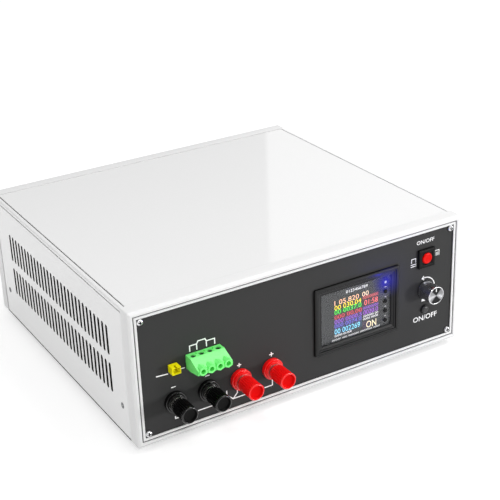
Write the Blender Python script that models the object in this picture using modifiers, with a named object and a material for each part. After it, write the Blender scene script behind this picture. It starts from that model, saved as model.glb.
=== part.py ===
"""Bench battery discharge meter: a vented steel case with a recessed instrument panel.

The case stands on four rubber feet with its front towards -Y and +Z up. The origin is under the
middle of the whole object. Everything on the front panel is placed in the panel's own frame, with X to
the right, Y up and Z out of the panel's face. The rear panel has a like frame, seen from behind.
"""
import math

import bmesh
import bpy
from mathutils import Matrix, Vector

# Clearances
GAP = 0.0003
SCREW_GAP = 0.0003
RUNNING_GAP = 0.0003

# Case
RECESS_WIDTH = 0.2650
RECESS_HEIGHT = 0.0950
CASE_DEPTH = 0.2520
FOOT_HEIGHT = 0.0050
FOOT_RADIUS = 0.0070
FOOT_INSET = 0.0240
FOOT_TAPER = 0.88

# Bezels
BEZEL_WALL = 0.0036
BEZEL_DEPTH = 0.0110
BEZEL_CHAMFER_WIDTH = 0.0020
BEZEL_CHAMFER_DEPTH = 0.0011
LIP_WIDTH = 0.0024
LIP_STEP = 0.0004
TONGUE_LENGTH = 0.0050
BOSS_SIZE = 0.0090
FRONT_RECESS = 0.0015
REAR_RECESS = 0.0030

# Sheet metal
SHEET = 0.0012
COVER_INSET = 0.0004
COVER_BEND = 0.0018
VENT_WIDTH = 0.0030
VENT_HEIGHT = 0.0227
VENT_PITCH = 0.00635
VENT_COLUMNS = 29
VENT_ROW_LOW = 0.0228
VENT_ROW_STEP = 0.0291
TRAY_FLANGE = 0.0150
TAB_LENGTH = 0.0110
COVER_SCREW_FROM_FRONT = 0.0212
COVER_SCREW_HEIGHT = 0.0200

# Panels and screws
PANEL_THICKNESS = 0.0025
REAR_THICKNESS = 0.0020
SCREW_INSET = 0.0052
SCREW_RADIUS = 0.0013
SCREW_HEAD_RADIUS = 0.00235
SCREW_HEAD_HEIGHT = 0.0015
SCREW_LENGTH = 0.0080
SCREW_CROWN = 0.6
SCREW_SHOULDER = 0.92
CROSS_ARM = 0.13
CROSS_FLOOR = 0.4

# Screen, placed by a share of the recess's width from its right edge
SCREEN_PLACE = 0.3381
SCREEN_FROM_BOTTOM = 0.0469
SCREEN_WIDTH = 0.0736
SCREEN_HEIGHT = 0.0532
SCREEN_PROUD = 0.0021
SCREEN_BORDER = 0.0062
SIGHT_EXTRA = 0.0009
SCREEN_SLOPE = 0.0030
SCREEN_LEDGE = 0.0009
SCREEN_LIP = 0.0007
SCREEN_TUB_WALL = 0.0016
SCREEN_TUB_DEPTH = 0.0045
WINDOW_THICKNESS = 0.0015
LCD_WIDTH = 0.0530
LCD_HEIGHT = 0.0420
LCD_THICKNESS = 0.0026
LCD_OFFSET = -0.0034
BOARD_THICKNESS = 0.0016
BOARD_MARGIN = 0.0015
KEY_COLUMN = 0.0259
KEY_PITCH = 0.00785
KEY_TOP = 0.0156
KEY_RADIUS = 0.0015
KEY_TRAVEL = 0.0004
KEY_PROUD = 0.0006
KEY_FLANGE = 0.0006
KEY_FLANGE_SPREAD = 1.35
KEY_CROWN = 0.8
LED_RADIUS = 0.0015

# Controls, one above another, placed by a share of the recess's width from its right edge
CONTROL_PLACE = 0.10415
POWER_FROM_BOTTOM = 0.0720
POWER_SIZE = 0.0150
POWER_BODY = 0.0126
POWER_BODY_DEPTH = 0.0170
POWER_BEZEL = 0.0020
POWER_BUTTON_RADIUS = 0.00425
POWER_BUTTON_PROUD = 0.0006
POWER_TRAVEL = 0.0015
KNOB_FROM_BOTTOM = 0.0461
KNOB_RADIUS = 0.0070
KNOB_FRONT = 0.0139
KNOB_STANDOFF = 0.0010
SHAFT_RADIUS = 0.0030
BUSHING_RADIUS = 0.0035
BUSHING_FRONT = 0.0030
ENCODER_SIZE = 0.0120
ENCODER_DEPTH = 0.0065
ENCODER_TRAVEL = 0.0005
START_FROM_BOTTOM = 0.0295
START_RADIUS = 0.0032
START_PROUD = 0.0025
START_TRAVEL = 0.0005
START_SHOULDER = 0.0008
START_STEM = 0.0040
START_BODY = 0.0120
START_BODY_DEPTH = 0.0090
NUT_THICKNESS = 0.0020
NUT_FLAT = 0.0050

# Terminal block, placed by a share of the recess's width from its left edge
TERMINAL_POLES = 4
TERMINAL_PITCH = 0.00635
TERMINAL_PLACE = 0.18642
TERMINAL_FROM_BOTTOM = 0.0455
TERMINAL_HEIGHT = 0.0102
TERMINAL_REACH = 0.0183
TERMINAL_FLAT = 0.0066
TERMINAL_NOSE_TOP = 0.0056
TERMINAL_NOSE_LOW = 0.0021
TERMINAL_END = 0.0004
TENON_STEP = 0.0018
BARREL_RADIUS = 0.0031
BARREL_HEIGHT = 0.0048
BARREL_PROUD = 0.0012
BARREL_LENGTH = 0.0060
WIRE_HOLE_RADIUS = 0.0018
WIRE_HOLE_DEPTH = 0.0080
CLAMP_SCREW_RADIUS = 0.0017
CLAMP_SCREW_LENGTH = 0.0036
CLAMP_SCREW_SUNK = 0.0008
CLAMP_SLOT_WIDTH = 0.0007

# Solder pins and tabs, as a multiple of their housing's depth
PIN_REACH = 1.4

# Probe header
PROBE_PLACE = 0.09849
PROBE_FROM_BOTTOM = 0.0498
PROBE_WIDTH = 0.0064
PROBE_HEIGHT = 0.0052
PROBE_REACH = 0.0063
PROBE_WALL = 0.0007
PROBE_FLOOR = 0.0010
PIN_SIZE = 0.0006
PIN_PITCH = 0.0025

# Binding posts, placed and spaced by shares of the recess's width
POST_COUNT = 4
POST_STEP = 0.09623
POST_PLACE = 0.09811
POST_FROM_BOTTOM = 0.0237
COLLAR_RADIUS = 0.0078
COLLAR_THICKNESS = 0.0031
COLLAR_BUSH_RADIUS = 0.0046
COLLAR_BOSS_RADIUS = 0.0064
COLLAR_BOSS_HEIGHT = 0.0010
STUD_RADIUS = 0.0025
STUD_TAIL = 0.0160
SHOULDER_RADIUS = 0.0052
SHOULDER_THICKNESS = 0.0008
INSERT_RADIUS = 0.0039
INSERT_LENGTH = 0.0090
INSERT_FLANGE_RADIUS = 0.0055
CAP_RADIUS = 0.0062
CAP_LENGTH = 0.0158
CAP_RIBS = 20
CAP_RIB_DEPTH = 0.0005
CAP_RIM = 0.0012
CAP_DISH = 0.0005
POST_NUT_THICKNESS = 0.0040

# Electronics inside
BOARD_STANDOFF = 0.0080
BOARD_WIDTH = 0.1400
BOARD_DEPTH = 0.0700
BOARD_TO_SINK = 0.0042
BOARD_FROM_LEFT = 0.0080
STANDOFF_RADIUS = 0.0035
SINK_STANDOFF = 0.0120
SINK_BASE = 0.0080
SINK_LENGTH = 0.1100
SINK_SHELF = 0.0260
SINK_TO_FAN = 0.0030
FIN_HEIGHT = 0.0640
FIN_THICKNESS = 0.0018
FIN_COUNT = 17
TRANSISTOR_WIDTH = 0.0158
TRANSISTOR_LENGTH = 0.0208
TRANSISTOR_THICKNESS = 0.0050
TRANSISTOR_COUNT = 4
SUPPLY_WIDTH = 0.0600
SUPPLY_LENGTH = 0.1050
SUPPLY_HEIGHT = 0.0380
SUPPLY_FROM_RIGHT = 0.0110

# Pieces on the main board, as shares of its width and depth
CAPACITOR_COUNT = 4
CAPACITOR_FIRST = 0.12
CAPACITOR_STEP = 0.13
CAPACITOR_RADIUS = 0.045
CAPACITOR_ROW = 0.78
CAPACITOR_HEIGHT = 0.30
RELAY_COUNT = 2
RELAY_FIRST = 0.08
RELAY_STEP = 0.22
RELAY_WIDTH = 0.14
RELAY_FRONT = 0.28
RELAY_BACK = 0.50
RELAY_HEIGHT = 0.20
COIL_ACROSS = 0.68
COIL_ALONG = 0.40
COIL_RADIUS = 0.07
COIL_HEIGHT = 0.16
HEADER_LEFT = 0.82
HEADER_RIGHT = 0.92
HEADER_FRONT = 0.20
HEADER_BACK = 0.80
HEADER_HEIGHT = 0.12

# Fans and mains inlet, measured in the rear recess as seen from behind
FAN_SHARE = 0.30189
FAN_MARGIN = 0.0060
FAN_DEPTH = 0.0250
FAN_BESIDE = 0.0020
FAN_PLACE = 0.19245
FAN_WALL = 0.0020
FAN_HUB_SHARE = 0.42
FAN_SCREW_INSET = 0.00425
FAN_PLATE = 0.12
FAN_CORNER = 0.04
FAN_BLADES = 7
BLADE_GAP = 0.0015
BLADE_THICKNESS = 0.0012
BLADE_ROOT = 0.94
BLADE_SWEEP = 0.35
BLADE_TWIST = 0.75
BLADE_CAMBER = 0.12
BLADE_CLEAR = 0.06
ARM_OVERLAP = 1.03
GUARD_SLOT_SHARE = 0.1263
GUARD_RIB_SHARE = 0.0789
GUARD_RINGS = 3
GUARD_SPOKE = 0.0040
INLET_PLACE = 0.14340
INLET_EARS = 0.0500
INLET_HEIGHT = 0.0340
INLET_FLANGE = 0.0022
INLET_BODY = 0.0300
INLET_DEPTH = 0.0200
SOCKET_WIDTH = 0.0245
SOCKET_HEIGHT = 0.0168
SOCKET_DEPTH = 0.0150
SOCKET_CORNER = 0.0045
BLADE_PIN_WIDTH = 0.0020
BLADE_PIN_HEIGHT = 0.0040
BLADE_PIN_SPACING = 0.0070
INLET_SCREW_SPACING = 0.0200

# Derived places
CASE_WIDTH = RECESS_WIDTH + 2 * BEZEL_WALL
CASE_HEIGHT = RECESS_HEIGHT + 2 * BEZEL_WALL
SHOULDER_BASE = GAP + COLLAR_THICKNESS + COLLAR_BOSS_HEIGHT + GAP
INSERT_BASE = SHOULDER_BASE + SHOULDER_THICKNESS + GAP
CAP_BASE = INSERT_BASE + SHOULDER_THICKNESS + GAP
CAP_FRONT = CAP_BASE + CAP_LENGTH
FRONT_REACH = max(CAP_FRONT - FRONT_RECESS, 0.0)
RIM_Y = (FRONT_REACH - CASE_DEPTH) / 2
FRONT_FACE_Y = RIM_Y + FRONT_RECESS
REAR_RIM_Y = RIM_Y + CASE_DEPTH
REAR_FACE_Y = REAR_RIM_Y - REAR_RECESS
RECESS_BOTTOM = FOOT_HEIGHT + BEZEL_WALL
FACE_Z = RECESS_BOTTOM + RECESS_HEIGHT / 2
LEFT = -RECESS_WIDTH / 2
RIGHT = RECESS_WIDTH / 2
LOW = -RECESS_HEIGHT / 2
COVER_HALF = CASE_WIDTH / 2 - COVER_INSET
COVER_TOP = FOOT_HEIGHT + CASE_HEIGHT - COVER_INSET
SHELL_BOTTOM = FOOT_HEIGHT + COVER_INSET
FLOOR_TOP = SHELL_BOTTOM + SHEET
SHELL_FRONT = RIM_Y + BEZEL_DEPTH + GAP
SHELL_REAR = REAR_RIM_Y - BEZEL_DEPTH - GAP
TRAY_HALF = COVER_HALF - SHEET - GAP
CONTROL_X = RIGHT - CONTROL_PLACE * RECESS_WIDTH
SCREW_HOLE = SCREW_RADIUS + SCREW_GAP
SMOOTH_ANGLE = math.radians(35)
FAN_SIZE = min(RECESS_HEIGHT - 2 * FAN_MARGIN, FAN_SHARE * RECESS_WIDTH)
FAN_SPACING = FAN_SIZE + FAN_BESIDE
FAN_FROM_RIGHT = FAN_PLACE * RECESS_WIDTH
FAN_BORE = FAN_SIZE / 2 - FAN_WALL
FAN_HUB = FAN_HUB_SHARE * FAN_BORE
FAN_SCREW_PITCH = FAN_SIZE - 2 * FAN_SCREW_INSET
BLADE_TIP = FAN_BORE - BLADE_GAP
SINK_WIDTH = FAN_SPACING + FAN_SIZE + SHEET


def remove_all_objects():
    """Empties the file without closing it."""
    for item in list(bpy.data.objects):
        bpy.data.objects.remove(item, do_unlink=True)


def new_collection(name):
    group = bpy.data.collections.new(name)
    bpy.context.scene.collection.children.link(group)
    return group


remove_all_objects()
PARTS = new_collection("battery_discharge_meter")
CUTTERS = new_collection("cutters")


def material(name, colour, roughness, metallic=0.0, alpha=1.0):
    """A Principled material with a linear RGB colour."""
    mat = bpy.data.materials.get(name) or bpy.data.materials.new(name)
    mat.use_nodes = True
    shader = mat.node_tree.nodes["Principled BSDF"]
    shader.inputs["Base Color"].default_value = (*colour, 1.0)
    shader.inputs["Roughness"].default_value = roughness
    shader.inputs["Metallic"].default_value = metallic
    shader.inputs["Alpha"].default_value = alpha
    return mat


def face_frame(name, y, turn):
    """An empty on a panel's outer face: X along the panel, Y up, Z out of the face."""
    empty = bpy.data.objects.new(name, None)
    empty.location = (0, y, FACE_Z)
    empty.rotation_euler = (math.radians(90), 0, turn)
    PARTS.objects.link(empty)
    return empty


FRONT = face_frame("front_face_frame", FRONT_FACE_Y, 0)
REAR = face_frame("rear_face_frame", REAR_FACE_Y, math.radians(180))


def add_box(bm, low, high):
    """Adds a box between two opposite corners, and returns its faces."""
    size = [b - a for a, b in zip(low, high)]
    middle = Vector([(a + b) / 2 for a, b in zip(low, high)])
    place = Matrix.Translation(middle) @ Matrix.Diagonal((*size, 1))
    made = bmesh.ops.create_cube(bm, size=1, matrix=place)
    return list({face for vert in made["verts"] for face in vert.link_faces})


def add_plate(bm, width, height, low, high, at=(0, 0)):
    """Adds a box centred on a point of the panel's plane, between two heights above it."""
    corner = (at[0] - width / 2, at[1] - height / 2, low)
    return add_box(bm, corner, (at[0] + width / 2, at[1] + height / 2, high))


AXIS_TURN = {
    "X": Matrix.Rotation(math.radians(90), 4, "Y"),
    "Y": Matrix.Rotation(math.radians(-90), 4, "X"),
    "Z": Matrix.Identity(4),
}


def add_rod(bm, radius, low, high, at=(0, 0, 0), sides=24, axis="Z", end_radius=None):
    """Adds a cylinder or cone along an axis, from low to high along it, through the point at."""
    end = radius if end_radius is None else end_radius
    lift = Matrix.Translation((0, 0, (low + high) / 2))
    place = Matrix.Translation(at) @ AXIS_TURN[axis] @ lift
    bmesh.ops.create_cone(bm, cap_ends=True, segments=sides, radius1=radius, radius2=end,
                          depth=high - low, matrix=place)


def add_hex(bm, flat, low, high, at=(0, 0, 0)):
    """Adds a hexagonal bar, flat being half the size across its flats."""
    add_rod(bm, flat / math.cos(math.pi / 6), low, high, at, sides=6)


def place(item, parent, at, turn):
    item.parent = parent
    item.location = at
    item.rotation_euler = turn


def make(name, bm, mat, parent=None, at=(0, 0, 0), turn=(0, 0, 0)):
    """Turns a bmesh into a named part with its own material."""
    mesh = bpy.data.meshes.new(name)
    bm.to_mesh(mesh)
    bm.free()
    mesh.shade_smooth()
    mesh.set_sharp_from_angle(angle=SMOOTH_ANGLE)
    mesh.materials.append(mat)
    item = bpy.data.objects.new(name, mesh)
    PARTS.objects.link(item)
    place(item, parent, at, turn)
    return item


def shape_with(target, bm, operation):
    """Cuts a bmesh out of a part, or joins it on, in the part's own coordinates."""
    name = f"{target.name}_{operation.lower()}_{len(target.modifiers)}"
    mesh = bpy.data.meshes.new(name)
    bm.to_mesh(mesh)
    bm.free()
    tool = bpy.data.objects.new(name, mesh)
    CUTTERS.objects.link(tool)
    place(tool, target.parent, target.location, target.rotation_euler)
    tool.hide_render = True
    tool.display_type = "WIRE"
    step = target.modifiers.new(name, "BOOLEAN")
    step.operation = operation
    step.solver = "EXACT"
    step.object = tool
    return step


def cut(target, bm):
    return shape_with(target, bm, "DIFFERENCE")


def fuse(target, bm):
    return shape_with(target, bm, "UNION")


def turned(name, profile, mat, parent=None, at=(0, 0, 0), closed=False, steps=24, turn=(0, 0, 0)):
    """Spins a profile of (radius, height) points, outer side running down, about local Z."""
    bm = bmesh.new()
    points = [bm.verts.new((r, 0, z)) for r, z in profile]
    for first, second in zip(points, points[1:]):
        bm.edges.new((first, second))
    if closed:
        bm.edges.new((points[-1], points[0]))
    item = make(name, bm, mat, parent, at, turn)
    spin = item.modifiers.new("spin", "SCREW")
    spin.axis = "Z"
    spin.steps = steps
    spin.render_steps = steps
    spin.use_merge_vertices = True
    spin.merge_threshold = 0.00001
    spin.use_smooth_shade = True
    return item


def outline_prism(bm, outline, low, high):
    """Adds a straight prism on a closed outline in the XY plane, listed counter-clockwise."""
    base = bm.faces.new([bm.verts.new((x, y, low)) for x, y in outline])
    grown = bmesh.ops.extrude_face_region(bm, geom=[base])
    lifted = [item for item in grown["geom"] if isinstance(item, bmesh.types.BMVert)]
    bmesh.ops.translate(bm, verts=lifted, vec=(0, 0, high - low))


def bevel(item, width, segments=1, angle=30):
    step = item.modifiers.new("edge", "BEVEL")
    step.width = width
    step.segments = segments
    step.limit_method = "ANGLE"
    step.angle_limit = math.radians(angle)
    return step


# Case shell

WHITE = (0.82, 0.83, 0.84)


def corner_points(inset):
    """The four screw places of a panel, an equal inset from the recess's edges."""
    x = RECESS_WIDTH / 2 - inset
    y = RECESS_HEIGHT / 2 - inset
    return [(-x, -y), (x, -y), (x, y), (-x, y)]


def bezel_frame(name, frame, recess, panel_thickness):
    """A moulded frame: chamfered rim, inner lip, pocket for the panel and a tongue behind."""
    back = recess - BEZEL_DEPTH
    pocket_width = RECESS_WIDTH + 2 * GAP
    pocket_height = RECESS_HEIGHT + 2 * GAP
    bm = bmesh.new()
    faces = add_plate(bm, CASE_WIDTH, CASE_HEIGHT, back, recess - BEZEL_CHAMFER_DEPTH)
    front = [face for face in faces if face.normal.z > 0.5]
    rear = [face for face in faces if face.normal.z < -0.5]
    bmesh.ops.inset_region(bm, faces=front, thickness=BEZEL_CHAMFER_WIDTH, depth=BEZEL_CHAMFER_DEPTH,
                           use_even_offset=True)
    bmesh.ops.inset_region(bm, faces=rear, thickness=COVER_INSET + SHEET + GAP, use_even_offset=True)
    grown = bmesh.ops.extrude_face_region(bm, geom=rear)
    moved = [item for item in grown["geom"] if isinstance(item, bmesh.types.BMVert)]
    bmesh.ops.translate(bm, verts=moved, vec=(0, 0, -TONGUE_LENGTH))
    bmesh.ops.delete(bm, geom=rear, context="FACES_ONLY")
    item = make(name, bm, material("bezel_abs", WHITE, 0.35), frame)
    step = bmesh.new()
    add_plate(step, RECESS_WIDTH, RECESS_HEIGHT, recess - LIP_STEP, recess + LIP_STEP)
    cut(item, step)
    opening = bmesh.new()
    lip = 2 * LIP_WIDTH
    add_plate(opening, RECESS_WIDTH - lip, RECESS_HEIGHT - lip, -BEZEL_DEPTH - TONGUE_LENGTH * 2, recess)
    cut(item, opening)
    pocket = bmesh.new()
    add_plate(pocket, pocket_width, pocket_height, -panel_thickness - GAP, GAP)
    cut(item, pocket)
    deep = back - TONGUE_LENGTH - GAP
    overlap = -panel_thickness
    inner = bmesh.new()
    add_plate(inner, pocket_width, pocket_height - 2 * BOSS_SIZE, deep, overlap)
    cut(item, inner)
    inner = bmesh.new()
    add_plate(inner, pocket_width - 2 * BOSS_SIZE, pocket_height, deep, overlap)
    cut(item, inner)
    corners = bmesh.new()
    add_plate(corners, pocket_width, pocket_height, deep, back)
    cut(item, corners)
    holes = bmesh.new()
    for x, y in corner_points(SCREW_INSET):
        add_rod(holes, SCREW_HOLE, back + GAP, overlap + GAP, (x, y, 0), sides=10)
    cut(item, holes)
    return item


def vent_centres():
    """Y and Z of each side slot's middle, two rows centred along the case."""
    first = (RIM_Y + REAR_RIM_Y) / 2 - VENT_PITCH * (VENT_COLUMNS - 1) / 2
    rows = [RECESS_BOTTOM + VENT_ROW_LOW + VENT_HEIGHT / 2 + VENT_ROW_STEP * row for row in range(2)]
    return [(first + VENT_PITCH * column, z) for z in rows for column in range(VENT_COLUMNS)]


def cover_screw_places():
    """Y and Z of the screws through each side of the cover."""
    z = RECESS_BOTTOM + COVER_SCREW_HEIGHT
    return [(RIM_Y + COVER_SCREW_FROM_FRONT, z), (REAR_RIM_Y - COVER_SCREW_FROM_FRONT, z)]


def top_cover():
    """Sheet steel folded into an upturned U, with two rows of punched slots in each side."""
    bend = COVER_BEND
    steps = 5
    arc = [(COVER_HALF - bend + bend * math.sin(angle), COVER_TOP - bend + bend * math.cos(angle))
           for angle in [math.radians(90) * k / (steps - 1) for k in range(steps)]]
    right = arc + [(COVER_HALF, SHELL_BOTTOM)]
    left = [(-x, z) for x, z in reversed(right)]
    bm = bmesh.new()
    verts = [bm.verts.new((x, SHELL_FRONT, z)) for x, z in left + right]
    edges = [bm.edges.new(pair) for pair in zip(verts, verts[1:])]
    grown = bmesh.ops.extrude_edge_only(bm, edges=edges)
    moved = [item for item in grown["geom"] if isinstance(item, bmesh.types.BMVert)]
    bmesh.ops.translate(bm, verts=moved, vec=(0, SHELL_REAR - SHELL_FRONT, 0))
    bm.normal_update()
    if sum(face.normal.z for face in bm.faces) < 0:
        bmesh.ops.reverse_faces(bm, faces=bm.faces[:])
    item = make("top_cover", bm, material("cover_steel", WHITE, 0.45), None)
    sheet = item.modifiers.new("sheet", "SOLIDIFY")
    sheet.thickness = SHEET
    sheet.offset = -1
    sheet.use_even_offset = True
    half = VENT_WIDTH / 2
    tall = VENT_HEIGHT / 2
    waist = tall - half
    outline = [(-tall, 0), (-waist, -half), (waist, -half), (tall, 0), (waist, half), (-waist, half)]
    slots = bmesh.new()
    for y, z in vent_centres():
        before = set(slots.verts)
        outline_prism(slots, outline, -CASE_WIDTH / 2 - SHEET, CASE_WIDTH / 2 + SHEET)
        added = [vert for vert in slots.verts if vert not in before]
        move = Matrix.Translation((0, y, z)) @ Matrix.Rotation(math.radians(90), 4, "Y")
        bmesh.ops.transform(slots, matrix=move, verts=added)
    for y, z in cover_screw_places():
        add_rod(slots, SCREW_HOLE, -CASE_WIDTH / 2 - SHEET, CASE_WIDTH / 2 + SHEET, (0, y, z), 10, "X")
    cut(item, slots)
    return item


FAN_FRONT_Y = REAR_FACE_Y - REAR_THICKNESS - GAP - FAN_DEPTH
SINK_REAR = FAN_FRONT_Y - SINK_TO_FAN
FAN_MIDDLE_X = LEFT + FAN_FROM_RIGHT + FAN_SPACING / 2
SINK_LEFT = FAN_MIDDLE_X - SINK_WIDTH / 2
SUPPLY_LEFT = RIGHT - SUPPLY_FROM_RIGHT - SUPPLY_WIDTH
SUPPLY_REAR = SINK_REAR
BOARD_LEFT = LEFT + BOARD_FROM_LEFT
BOARD_FRONT_Y = SINK_REAR - SINK_LENGTH - BOARD_TO_SINK - BOARD_DEPTH


def board_corners():
    """Standoff places under the main board."""
    edge = 2 * STANDOFF_RADIUS
    xs = (BOARD_LEFT + edge, BOARD_LEFT + BOARD_WIDTH - edge)
    return [(x, y) for x in xs for y in (BOARD_FRONT_Y + edge, BOARD_FRONT_Y + BOARD_DEPTH - edge)]


def sink_corners():
    """Standoff places under the heatsink."""
    edge = 3 * STANDOFF_RADIUS
    xs = (SINK_LEFT + edge, SINK_LEFT + SINK_WIDTH - edge)
    return [(x, y) for x in xs for y in (SINK_REAR - SINK_LENGTH + edge, SINK_REAR - edge)]


def supply_corners():
    """Standoff places under the power supply."""
    edge = 2 * STANDOFF_RADIUS
    xs = (SUPPLY_LEFT + edge, SUPPLY_LEFT + SUPPLY_WIDTH - edge)
    return [(x, y) for x in xs for y in (SUPPLY_REAR - SUPPLY_LENGTH + edge, SUPPLY_REAR - edge)]


def base_tray():
    """Folded steel tray: floor, low side flanges, four screw tabs and pressed-in standoffs."""
    bm = bmesh.new()
    add_box(bm, (-TRAY_HALF, SHELL_FRONT, SHELL_BOTTOM), (TRAY_HALF, SHELL_REAR, FLOOR_TOP))
    item = make("base_tray", bm, material("tray_steel", (0.55, 0.56, 0.57), 0.4, 0.8))
    clear = TONGUE_LENGTH + 2 * GAP
    front = RIM_Y + BEZEL_DEPTH + clear
    rear = REAR_RIM_Y - BEZEL_DEPTH - clear
    tab_top = RECESS_BOTTOM + COVER_SCREW_HEIGHT + 3 * SCREW_RADIUS
    for side in (-1, 1):
        outer = side * TRAY_HALF
        inner = side * (TRAY_HALF - SHEET)
        low, high = sorted((outer, inner))
        flange = bmesh.new()
        add_box(flange, (low, front, SHELL_BOTTOM), (high, rear, FLOOR_TOP + TRAY_FLANGE))
        fuse(item, flange)
        tabs = bmesh.new()
        middle = SHELL_BOTTOM + TRAY_FLANGE / 2
        add_box(tabs, (low, front, middle), (high, front + TAB_LENGTH, tab_top))
        add_box(tabs, (low, rear - TAB_LENGTH, middle), (high, rear, tab_top))
        fuse(item, tabs)
    pillars = bmesh.new()
    sunk = SHELL_BOTTOM + SHEET / 2
    for x, y in board_corners() + supply_corners():
        add_rod(pillars, STANDOFF_RADIUS, sunk, FLOOR_TOP + BOARD_STANDOFF, (x, y, 0), 8)
    for x, y in sink_corners():
        add_rod(pillars, STANDOFF_RADIUS, sunk, FLOOR_TOP + SINK_STANDOFF, (x, y, 0), 8)
    fuse(item, pillars)
    holes = bmesh.new()
    for y, z in cover_screw_places():
        add_rod(holes, SCREW_HOLE, -CASE_WIDTH / 2, CASE_WIDTH / 2, (0, y, z), 10, "X")
    cut(item, holes)
    return item


def rubber_feet():
    """Four tapered feet under the tray, each with a counterbore for its screw."""
    top = SHELL_BOTTOM - GAP
    waist = FOOT_RADIUS * FOOT_TAPER
    bore = FOOT_RADIUS / 2
    profile = [(0, top), (FOOT_RADIUS, top), (waist, 0), (bore, 0), (bore, top / 2), (0, top / 2)]
    xs = CASE_WIDTH / 2 - FOOT_INSET
    places = [(x, y) for y in (RIM_Y + FOOT_INSET, REAR_RIM_Y - FOOT_INSET) for x in (-xs, xs)]
    for number, (x, y) in enumerate(places, 1):
        rubber = material("foot_rubber", (0.02, 0.02, 0.02), 0.85)
        turned(f"rubber_foot_{number}", profile, rubber, None, (x, y, 0), steps=16)


def fan_centres():
    """Rear-frame places of the two fans."""
    x = RIGHT - FAN_FROM_RIGHT
    return [(x, 0), (x - FAN_SPACING, 0)]


INLET_AT = (LEFT + INLET_PLACE * RECESS_WIDTH, 0)


def fan_screws(centre):
    half = FAN_SCREW_PITCH / 2
    return [(centre[0] + sx * half, centre[1] + sy * half) for sx in (-1, 1) for sy in (-1, 1)]


def inlet_screws():
    return [(INLET_AT[0] + side * INLET_SCREW_SPACING, INLET_AT[1]) for side in (-1, 1)]


def panel_screws():
    """Four cross-head screws that hold the front panel to the bezel's corner bosses."""
    head = SCREW_HEAD_HEIGHT
    wide = SCREW_HEAD_RADIUS
    profile = [(0, head), (wide * SCREW_CROWN, head), (wide * SCREW_SHOULDER, head * SCREW_CROWN), (wide, 0),
               (SCREW_RADIUS, 0),
               (SCREW_RADIUS, -SCREW_LENGTH), (0, -SCREW_LENGTH)]
    steel = material("screw_steel", (0.5, 0.5, 0.5), 0.3, 1.0)
    for number, (x, y) in enumerate(corner_points(SCREW_INSET), 1):
        screw = turned(f"panel_screw_{number}", profile, steel, FRONT, (x, y, GAP), steps=12)
        cross = bmesh.new()
        reach = wide * SCREW_CROWN
        half = wide * CROSS_ARM
        floor = head * CROSS_FLOOR
        add_box(cross, (-reach, -half, floor), (reach, half, 2 * head))
        cut(screw, cross)
        cross = bmesh.new()
        add_box(cross, (-half, -reach, floor), (half, reach, 2 * head))
        cut(screw, cross)


def post_places():
    """Front-frame places of the binding posts, left to right."""
    y = LOW + POST_FROM_BOTTOM
    return [(LEFT + (POST_PLACE + POST_STEP * k) * RECESS_WIDTH, y) for k in range(POST_COUNT)]


SCREEN_AT = (RIGHT - SCREEN_PLACE * RECESS_WIDTH, LOW + SCREEN_FROM_BOTTOM)
POWER_AT = (CONTROL_X, LOW + POWER_FROM_BOTTOM)
KNOB_AT = (CONTROL_X, LOW + KNOB_FROM_BOTTOM)
START_AT = (CONTROL_X, LOW + START_FROM_BOTTOM)
TERMINAL_AT = (LEFT + TERMINAL_PLACE * RECESS_WIDTH, LOW + TERMINAL_FROM_BOTTOM)
PROBE_AT = (LEFT + PROBE_PLACE * RECESS_WIDTH, LOW + PROBE_FROM_BOTTOM)
TUB_WIDTH = SCREEN_WIDTH - SCREEN_BORDER
TUB_HEIGHT = SCREEN_HEIGHT - SCREEN_BORDER
TENON_WIDTH = TERMINAL_POLES * TERMINAL_PITCH - 2 * TENON_STEP
TENON_HEIGHT = TERMINAL_HEIGHT - TENON_STEP
COLLAR_HOLE = COLLAR_BUSH_RADIUS + GAP


def front_panel():
    """Dark instrument panel with a cut-out for each thing mounted on it."""
    bm = bmesh.new()
    add_plate(bm, RECESS_WIDTH, RECESS_HEIGHT, -PANEL_THICKNESS, 0)
    item = make("front_panel", bm, material("panel_black", (0.055, 0.055, 0.057), 0.5), FRONT)
    low = -2 * PANEL_THICKNESS
    high = PANEL_THICKNESS
    holes = bmesh.new()
    for x, y in corner_points(SCREW_INSET):
        add_rod(holes, SCREW_HOLE, low, high, (x, y, 0), 10)
    for x, y in post_places():
        add_rod(holes, COLLAR_HOLE, low, high, (x, y, 0), 16)
    add_plate(holes, TUB_WIDTH + 2 * GAP, TUB_HEIGHT + 2 * GAP, low, high, SCREEN_AT)
    add_plate(holes, POWER_BODY + 2 * GAP, POWER_BODY + 2 * GAP, low, high, POWER_AT)
    add_rod(holes, BUSHING_RADIUS + GAP, low, high, (*KNOB_AT, 0), 16)
    add_rod(holes, START_RADIUS + RUNNING_GAP, low, high, (*START_AT, 0), 16)
    terminal_middle = (TERMINAL_AT[0], TERMINAL_AT[1] + TERMINAL_HEIGHT / 2)
    add_plate(holes, TENON_WIDTH + 2 * GAP, TENON_HEIGHT + 2 * GAP, low, high, terminal_middle)
    wall = 2 * PROBE_WALL
    add_plate(holes, PROBE_WIDTH - wall + 2 * GAP, PROBE_HEIGHT - wall + 2 * GAP, low, high, PROBE_AT)
    cut(item, holes)
    return item


def arc_slot(bm, inner, outer, start, end, low, high, steps=4):
    """Adds a curved slot's prism between two radii and two angles."""
    angles = [start + (end - start) * k / steps for k in range(steps + 1)]
    outline = [(outer * math.cos(a), outer * math.sin(a)) for a in angles]
    outline += [(inner * math.cos(a), inner * math.sin(a)) for a in reversed(angles)]
    outline_prism(bm, outline, low, high)


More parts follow.
